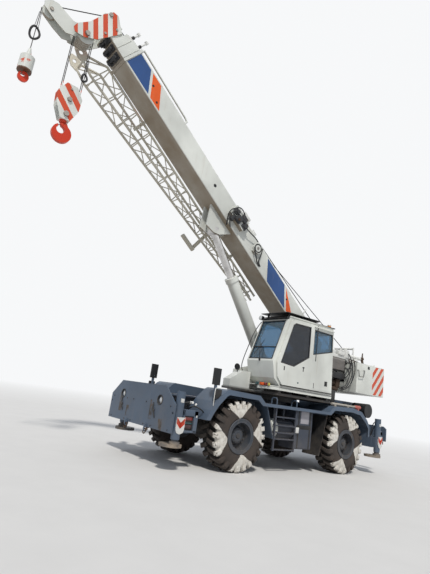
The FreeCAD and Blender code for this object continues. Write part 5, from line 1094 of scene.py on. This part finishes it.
bent("machine_hoses", "turntable", "rubber", [
    [(-2.58 + 0.13 * n, 1.15, 3.20), (-2.61 + 0.12 * n, 1.19, 3.00), (-2.56 + 0.11 * n, 1.19, 2.75),
     (-2.44 + 0.10 * n, 1.18, 2.50), (-2.27 + 0.07 * n, 1.15, 2.33 + 0.02 * n), (-2.08, 1.08, 2.28 + 0.04 * n)]
    for n in range(3)] + [
    [(-2.42 + 0.06 * n, 0.60, 3.23), (-2.42 + 0.06 * n, 0.60, 3.30), (-2.34 + 0.07 * n, 0.68 + 0.01 * n, 3.28),
     (-2.32 + 0.06 * n, 0.69, 3.02), (-2.28 + 0.09 * n, 0.70, 2.72), (-2.05 + 0.09 * n, 0.71, 2.60),
     (-2.0 + 0.09 * n, 0.70, 2.52)] for n in range(4)] + [
    [(-2.06 + 0.07 * n, 0.57, 2.83), (-2.06 + 0.07 * n, 0.66, 2.83), (-2.12 + 0.07 * n, 0.70, 2.66),
     (-2.30 + 0.05 * n, 0.66, 2.40), (-2.40 + 0.05 * n, 0.50, 2.30)] for n in range(3)] + [
    [(-2.34, 1.10, 3.40), (-2.40, 1.16, 3.30), (-2.42, 1.16, 3.05), (-2.30, 1.14, 2.86), (-2.22, 1.10, 2.94)],
    [(-2.28, 1.06, 2.98), (-2.36, 1.14, 2.92), (-2.34, 1.15, 2.72), (-2.18, 1.12, 2.66)],
    [(-3.50, 0.86, 3.28), (-3.42, 0.92, 3.22), (-3.10, 0.96, 3.24), (-2.80, 0.96, 3.26), (-2.56, 0.92, 3.30)]], 0.0145)
ROPE_GUIDES = {"main": (-2.76, 3.56, 0.366, 3.12), "aux": (-3.62, 3.76, 0.366, 3.12)}
kit("rope_guides", "turntable", "white", boxes=[
    ((x - 0.03, side * y - 0.012, foot), (x + 0.03, side * y + 0.012, z + 0.04), 0.004)
    for x, z, y, foot in ROPE_GUIDES.values() for side in (1, -1)] + [
    ((-3.62, side * 0.366 - 0.012, 3.12), (-3.20, side * 0.366 + 0.012, 3.17), 0.004) for side in (1, -1)],
    rods=[((x, -y - 0.009, z), (x, y + 0.009, z), 0.034) for x, z, y, foot in ROPE_GUIDES.values()])
kit("counterweight_plate", "turntable", "black", both=True, boxes=[((-3.35, 1.198, 3.06), (-3.25, 1.204, 3.15), 0.002)])
kit("counterweight_eyes", "turntable", "white", both=True, turned=[
    ((x, 0.95, 3.23), (0, 1, 0), [(-0.015, 0.030), (0.015, 0.030), (0.015, 0.062), (-0.015, 0.062), (-0.015, 0.030)], 20)
    for x in (-2.95, -3.95)])
print("machinery dressed")

# %% [markdown]
# ## Boom
# The boom's side carries slanted colour panels. They could be painted by a mask, but as thin plates
# they keep crisp edges at any distance. Ropes run from the winches over rollers to the head. A rope
# that crosses a joint is put on neither body, so it keeps its place as made.

# %% Panels and brackets on the boom
SIDE_Y = 0.3302
PANELS = {
    "blue": [[(2.20, -0.07), (3.23, -0.07), (3.68, 0.44), (2.69, 0.44)],
             [(9.06, -0.07), (9.915, -0.07), (9.915, 0.44), (9.50, 0.44)]],
    "orange": [[(1.90, 0.06), (2.10, -0.07), (2.58, 0.43)],
               [(8.60, -0.07), (8.97, -0.07), (9.41, 0.44), (9.07, 0.44)]],
}
for colour_name, outlines in PANELS.items():
    kit(f"boom_panels_{colour_name}", "boom", colour_name, BOOM, plates=[
        ([(s, side * SIDE_Y, h) for s, h in outline], (0, side * 0.0018, 0)) for outline in outlines
        for side in (1, -1)])
kit("boom_plugs", "boom", "black", BOOM, rods=[
    ((s, side * 0.329, h), (s, side * 0.338, h), 0.032, 0.028, 16)
    for s, h in ((9.16, 0.22), (8.80, 0.02), (2.33, 0.20)) for side in (1, -1)] + [
    ((6.29, side * 0.329, 0.20), (6.29, side * 0.336, 0.20), 0.050, 0.044, 20) for side in (1, -1)])
kit("reel_drum", "boom", "black", BOOM, turned=[
    ((4.16, 0.42, 0.24), (0, 1, 0), [(-0.08, 0.085), (-0.075, 0.142), (-0.004, 0.142), (0.004, 0.130), (0.0, 0.098),
                                    (-0.02, 0.085), (-0.08, 0.085)], 40)])
kit("reel_hub", "boom", "tin", BOOM, turned=[
    ((4.16, 0.42, 0.24), (0, 1, 0), [(-0.03, 0.095), (-0.012, 0.090), (-0.006, 0.045), (0.012, 0.040), (0.014, 0.0)], 28)])
kit("hose_bracket", "boom", "iron", BOOM, boxes=[
    ((5.32, 0.42, 0.16), (5.46, 0.50, 0.33), 0.010), ((5.10, 0.44, 0.04), (5.30, 0.53, 0.25), 0.012),
    ((4.98, 0.44, 0.22), (5.20, 0.52, 0.40), 0.010), ((4.84, 0.44, 0.10), (5.02, 0.49, 0.30), 0.008),
    ((5.28, 0.40, -0.06), (5.40, 0.47, 0.14), 0.010)],
    turned=[((s, 0.51, h), (0, 1, 0), [(-0.03, 0.0), (-0.03, 0.06), (0.0, 0.045), (0.02, 0.06), (0.024, 0.0)], 24)
            for s, h in ((5.36, 0.26), (4.93, 0.19), (5.12, 0.33))])
kit("valve_cap", "boom", "rust", BOOM, rods=[
    ((5.20, 0.50, 0.10), (5.20, 0.56, 0.10), 0.040, 0.034, 16), ((4.92, 0.48, 0.26), (4.92, 0.53, 0.26), 0.030, 0.026, 16)])
kit("top_box", "boom", "white", BOOM, boxes=[
    ((4.90, 0.26, 0.435), (5.20, 0.42, 0.575), 0.012), ((4.98, 0.20, 0.47), (5.12, 0.28, 0.62), 0.008)])
bent("boom_hoses", "boom", "rubber", [
    [(5.30, 0.48, 0.30), (5.42, 0.50, 0.33), (5.54, 0.47, 0.18), (5.52, 0.44, 0.02), (5.44, 0.41, -0.10),
     (5.34, 0.36, -0.16), (5.28, 0.30, -0.18)],
    [(5.26, 0.49, 0.22), (5.40, 0.51, 0.26), (5.48, 0.48, 0.12), (5.44, 0.45, -0.04), (5.32, 0.42, -0.12),
     (5.18, 0.36, -0.16)],
    [(5.16, 0.52, 0.38), (5.30, 0.53, 0.42), (5.44, 0.51, 0.38), (5.50, 0.48, 0.24), (5.40, 0.47, 0.10)],
    [(4.86, 0.47, 0.22), (4.66, 0.46, 0.26), (4.46, 0.44, 0.34), (4.30, 0.42, 0.36)],
    [(4.28, 0.44, 0.14), (4.14, 0.44, 0.04), (4.00, 0.41, 0.00), (3.88, 0.35, -0.02), (3.74, 0.34, -0.04)],
    [(4.06, 0.44, 0.36), (3.98, 0.43, 0.24), (3.92, 0.40, 0.10), (3.84, 0.35, 0.02), (3.70, 0.34, 0.00)]], 0.016, BOOM)
kit("rope_roller_boom", "boom", "white", BOOM, boxes=[
    ((4.38, y, 0.49), (4.58, y + 0.02, 0.68), 0.004) for y in (-0.19, 0.17)],
    rods=[((4.48, -0.21, 0.610), (4.48, 0.21, 0.610), 0.032), ((1.50, 0.27, 0.49), (1.50, 0.27, 0.70), 0.022),
          ((1.50, -0.27, 0.49), (1.50, -0.27, 0.70), 0.022)])
for body, low_s, high_s, under, half in (("boom_section_2", 10.06, 10.22, -0.084, 0.22), ("boom_section_3", 10.28, 10.42, -0.046, 0.20),
                                         ("boom_head", 10.48, 10.63, -0.008, 0.17)):
    kit(f"mouth_fittings_{body}", body, "iron", BOOM, boxes=[
        ((low_s, -half, under - 0.05), (high_s, half, under), 0.005),
        ((low_s + 0.02, -half * 0.8, under - 0.14), (high_s - 0.02, -half * 0.45, under - 0.03), 0.010),
        ((low_s + 0.03, half * 0.35, under - 0.12), (high_s - 0.03, half * 0.75, under - 0.03), 0.010)],
        rods=[((low_s + 0.08, -half * 0.9, under - 0.10), (low_s + 0.08, half * 0.9, under - 0.10), 0.028)])

for body, post_s, foot, top in (("boom_section_2", 10.09, 0.50, 0.90), ("boom_section_3", 10.33, 0.47, 0.82)):
    kit(f"rope_post_{body}", body, "white", BOOM, rods=[
        ((post_s, 0.20, foot), (post_s, 0.20, top), 0.028, 0.022), ((post_s - 0.03, 0.20, top), (post_s + 0.05, 0.20, top), 0.046, 0.040)],
        boxes=[((post_s - 0.07, 0.13, foot - 0.03), (post_s + 0.07, 0.25, foot + 0.05), 0.008)])
    kit(f"rope_post_foot_{body}", body, "black", BOOM, rods=[
        ((post_s, 0.20, foot + 0.06), (post_s, 0.20, foot + 0.16), 0.042)])

# %% Hoist ropes
ROPE = 0.012
BASE_ROLLER, SECOND_ROLLER, THIRD_ROLLER = (9.965, 0.590), (10.215, 0.552), (10.415, 0.514)
UP = 0.032 + ROPE


def rope_run(name, start_body, end_body, start, end, steps=12):
    """A straight rope between two bodies, in even steps; one that reaches a second body is put on neither."""
    start, end = Vector(start), Vector(end)
    points = [start.lerp(end, n / steps) for n in range(steps + 1)]
    made = bent(name, None if end_body else start_body, "rope", [points], ROPE, Matrix.Identity(4), round_bends=False)
    if end_body:
        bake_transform(made)
    return made


for tag, winch_x, drum_y, head_y in (("main", -2.76, 0.10, 0.032), ("aux", -3.26, -0.10, -0.032)):
    guide_x, roller_z = ROPE_GUIDES[tag][:2]
    guide = SLEW @ Vector((guide_x, drum_y, roller_z + 0.034 + ROPE))
    stations = [BOOM @ Vector((4.48, drum_y, 0.610 + UP)), BOOM @ Vector((BASE_ROLLER[0], head_y, BASE_ROLLER[1] + UP)),
                BOOM @ Vector((SECOND_ROLLER[0], head_y, SECOND_ROLLER[1] + UP)),
                BOOM @ Vector((THIRD_ROLLER[0], head_y, THIRD_ROLLER[1] + UP)),
                BOOM @ Vector((10.96, head_y, 0.36 + 0.12))]
    rope_run(f"rope_{tag}_drum", "turntable", None, SLEW @ Vector((winch_x - 0.185, drum_y, 2.99)), guide)
    rope_run(f"rope_{tag}_winch", "turntable", "boom", guide, stations[0], 48)
    rope_run(f"rope_{tag}_boom", "boom", None, stations[0], stations[1])
    rope_run(f"rope_{tag}_second", "boom", "boom_section_2", stations[1], stations[2], 6)
    rope_run(f"rope_{tag}_third", "boom_section_2", "boom_section_3", stations[2], stations[3], 6)
    rope_run(f"rope_{tag}_head", "boom_section_3", "boom_head", stations[3], stations[4], 6)

bent("rope_over_head", "boom_head", "rope", [
    [(10.96, 0.032, 0.48), (11.02, 0.032, 0.475), (11.075, 0.032, 0.42), (11.078, 0.034, 0.32), (11.045, 0.05, -0.05),
     (11.01, 0.065, -0.40), (10.995, 0.065, -0.55)],
    [(10.96, -0.032, 0.48), (11.02, -0.032, 0.475), (11.07, -0.032, 0.42), (11.13, -0.028, 0.28), (11.40, -0.01, -0.28),
     (11.68, 0.0, -0.84), (11.70, 0.0, -0.92)]], ROPE, BOOM)
kit("head_rollers", "boom_head", "black", BOOM, rods=[
    ((11.34, -0.112, -0.68), (11.34, 0.112, -0.68), 0.030), ((11.64, -0.112, -0.78), (11.64, 0.112, -0.78), 0.030)])
kit("head_pins", "boom_head", "steel", BOOM, both=True, rods=[
    ((10.80, 0.24, -0.55), (10.80, 0.285, -0.55), 0.062, 0.055, 24), ((10.96, 0.24, 0.36), (10.96, 0.268, 0.36), 0.05),
    ((10.66, 0.238, -0.10), (10.66, 0.258, -0.10), 0.03), ((10.62, 0.238, 0.26), (10.62, 0.258, 0.26), 0.03),
    ((11.54, 0.128, -0.92), (11.54, 0.155, -0.92), 0.045, 0.04, 20)])
print("boom dressed")

# %% [markdown]
# ## Hook block and auxiliary hook
# Pins, caps and a safety latch, and the weighted rings of the overhoist switches, which hang round
# the falls. The rings ride with what hangs, so they stay plumb.

# %% Pins, latch and switch rings
BLOCK_X, BLOCK_Z = 7.0274, 7.3991
kit("block_pins", "main_block", "steel", rods=[
    row for side in (1, -1) for row in (
        ((BLOCK_X, side * 0.104, BLOCK_Z + 0.06), (BLOCK_X, side * 0.150, BLOCK_Z + 0.06), 0.055, 0.048, 24),
        ((BLOCK_X, side * 0.104, BLOCK_Z - 0.30), (BLOCK_X, side * 0.145, BLOCK_Z - 0.30), 0.058, 0.058, 24),
        ((BLOCK_X, side * 0.104, BLOCK_Z + 0.32), (BLOCK_X, side * 0.122, BLOCK_Z + 0.32), 0.026, 0.024, 6))])
kit("block_collar", "main_block", "hook", turned=[
    ((BLOCK_X, 0, BLOCK_Z - 0.43), (0, 0, 1), [(-0.002, 0.052), (-0.002, 0.082), (-0.05, 0.078), (-0.058, 0.052)], 24)])
kit("hook_latch", "main_hook", "steel", rods=[
    ((BLOCK_X + 0.030, 0, BLOCK_Z - 0.535), (BLOCK_X + 0.108, 0, BLOCK_Z - 0.570), 0.012, 0.010, 10)])

def switch_ring(name, body, x, y, z, ring, wire, chain):
    """A weighted ring round the fall, with the two chains that it hangs from."""
    bow = [(x + ring * math.sin(a), y + 0.3 * ring * math.sin(2 * a), z + ring * 1.5 * math.cos(a))
           for a in (2 * math.pi * n / 12 for n in range(12))]
    bent(name, body, "rubber", [bow], wire, closed=True)
    kit(f"{name}_chains", body, "iron", rods=[
        ((x + side * ring * 0.4, y, z + ring * 1.35), (x + side * 0.02, y, z + chain), 0.006) for side in (1, -1)])


switch_ring("switch_ring_aux", "aux_hook", 8.0208, 0.0, 8.60, 0.105, 0.024, 0.55)
switch_ring("switch_ring_main", "main_block", BLOCK_X - 0.209, 0.065, 8.16, 0.062, 0.024, 0.45)
print("hooks dressed")

# %% [markdown]
# ## Studio
# A pale floor with a soft horizon, one broad key light from the side the sun stood on, a weak fill
# and an even sky. What the camera sees behind the crane is plain; what gloss and glass mirror is the
# same pale studio. The lights are kept at a level where a paint renders about as it is written.

# %% Floor, sky and lamps
FLOOR_TONE = (0.68, 0.67, 0.65, 1)

def make_floor():
    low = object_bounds()[0]
    bm = bmesh.new()
    bmesh.ops.create_circle(bm, cap_ends=True, segments=96, radius=120.0,
                            matrix=Matrix.Translation((0, 0, low[2] - 0.001)))
    mesh = bpy.data.meshes.new("floor")
    bm.to_mesh(mesh)
    bm.free()
    floor = bpy.data.objects.new("floor", mesh)
    bpy.context.collection.objects.link(floor)
    material, graph = new_material("studio_floor")
    place = graph.coordinates()
    speckle = graph.ramp(graph.noise(place, 1.3, 6.0), 0.35, 0.7)
    tone = graph.mix(speckle, FLOOR_TONE, tuple(c * 0.965 for c in FLOOR_TONE[:3]) + (1,))
    shader = graph.tree.nodes["Principled BSDF"]
    graph.tree.links.new(tone, shader.inputs["Base Color"])
    shader.inputs["Roughness"].default_value = 0.95
    far = graph.ramp(graph.add("ShaderNodeVectorMath", {0: place}, operation="LENGTH").outputs["Value"], 14.0, 45.0)
    glow = graph.add("ShaderNodeEmission", {"Color": (0.93, 0.94, 0.95, 1), "Strength": 1.0}).outputs[0]
    blend = graph.add("ShaderNodeMixShader", {0: far, 1: shader.outputs[0], 2: glow})
    graph.tree.links.new(blend.outputs[0], graph.tree.nodes["Material Output"].inputs["Surface"])
    mesh.materials.append(material)
    print("floor at", round(low[2], 4))


def make_sky():
    world = bpy.data.worlds.new("studio_sky")
    bpy.context.scene.world = world
    world.use_nodes = True
    graph = Graph(world.node_tree)
    rays = graph.add("ShaderNodeLightPath").outputs
    seen = graph.math("MAXIMUM", rays["Is Camera Ray"], graph.math("MAXIMUM", rays["Is Glossy Ray"],
                                                                  rays["Is Transmission Ray"]))
    sky = graph.add("ShaderNodeBackground", {"Color": (0.80, 0.87, 1.0, 1), "Strength": 0.44}).outputs[0]
    backdrop = graph.add("ShaderNodeBackground", {"Color": (0.93, 0.94, 0.95, 1), "Strength": 1.0}).outputs[0]
    mixed = graph.add("ShaderNodeMixShader", {0: seen, 1: sky, 2: backdrop}).outputs[0]
    graph.tree.links.new(mixed, graph.tree.nodes["World Output"].inputs["Surface"])


def make_sun(name, toward, strength, softness, colour):
    data = bpy.data.lights.new(name, "SUN")
    data.energy = strength
    data.angle = math.radians(softness)
    data.color = colour
    lamp = bpy.data.objects.new(name, data)
    bpy.context.collection.objects.link(lamp)
    lamp.rotation_mode = "QUATERNION"
    lamp.rotation_quaternion = Vector(toward).to_track_quat("-Z", "Y")


make_floor()
make_sky()
make_sun("key", (-0.36, -0.54, -0.76), 2.6, 5.0, (1.0, 0.97, 0.92))
make_sun("fill", (0.6, 0.5, -0.35), 0.30, 60.0, (0.85, 0.92, 1.0))
bpy.context.scene.view_settings.view_transform = "Standard"
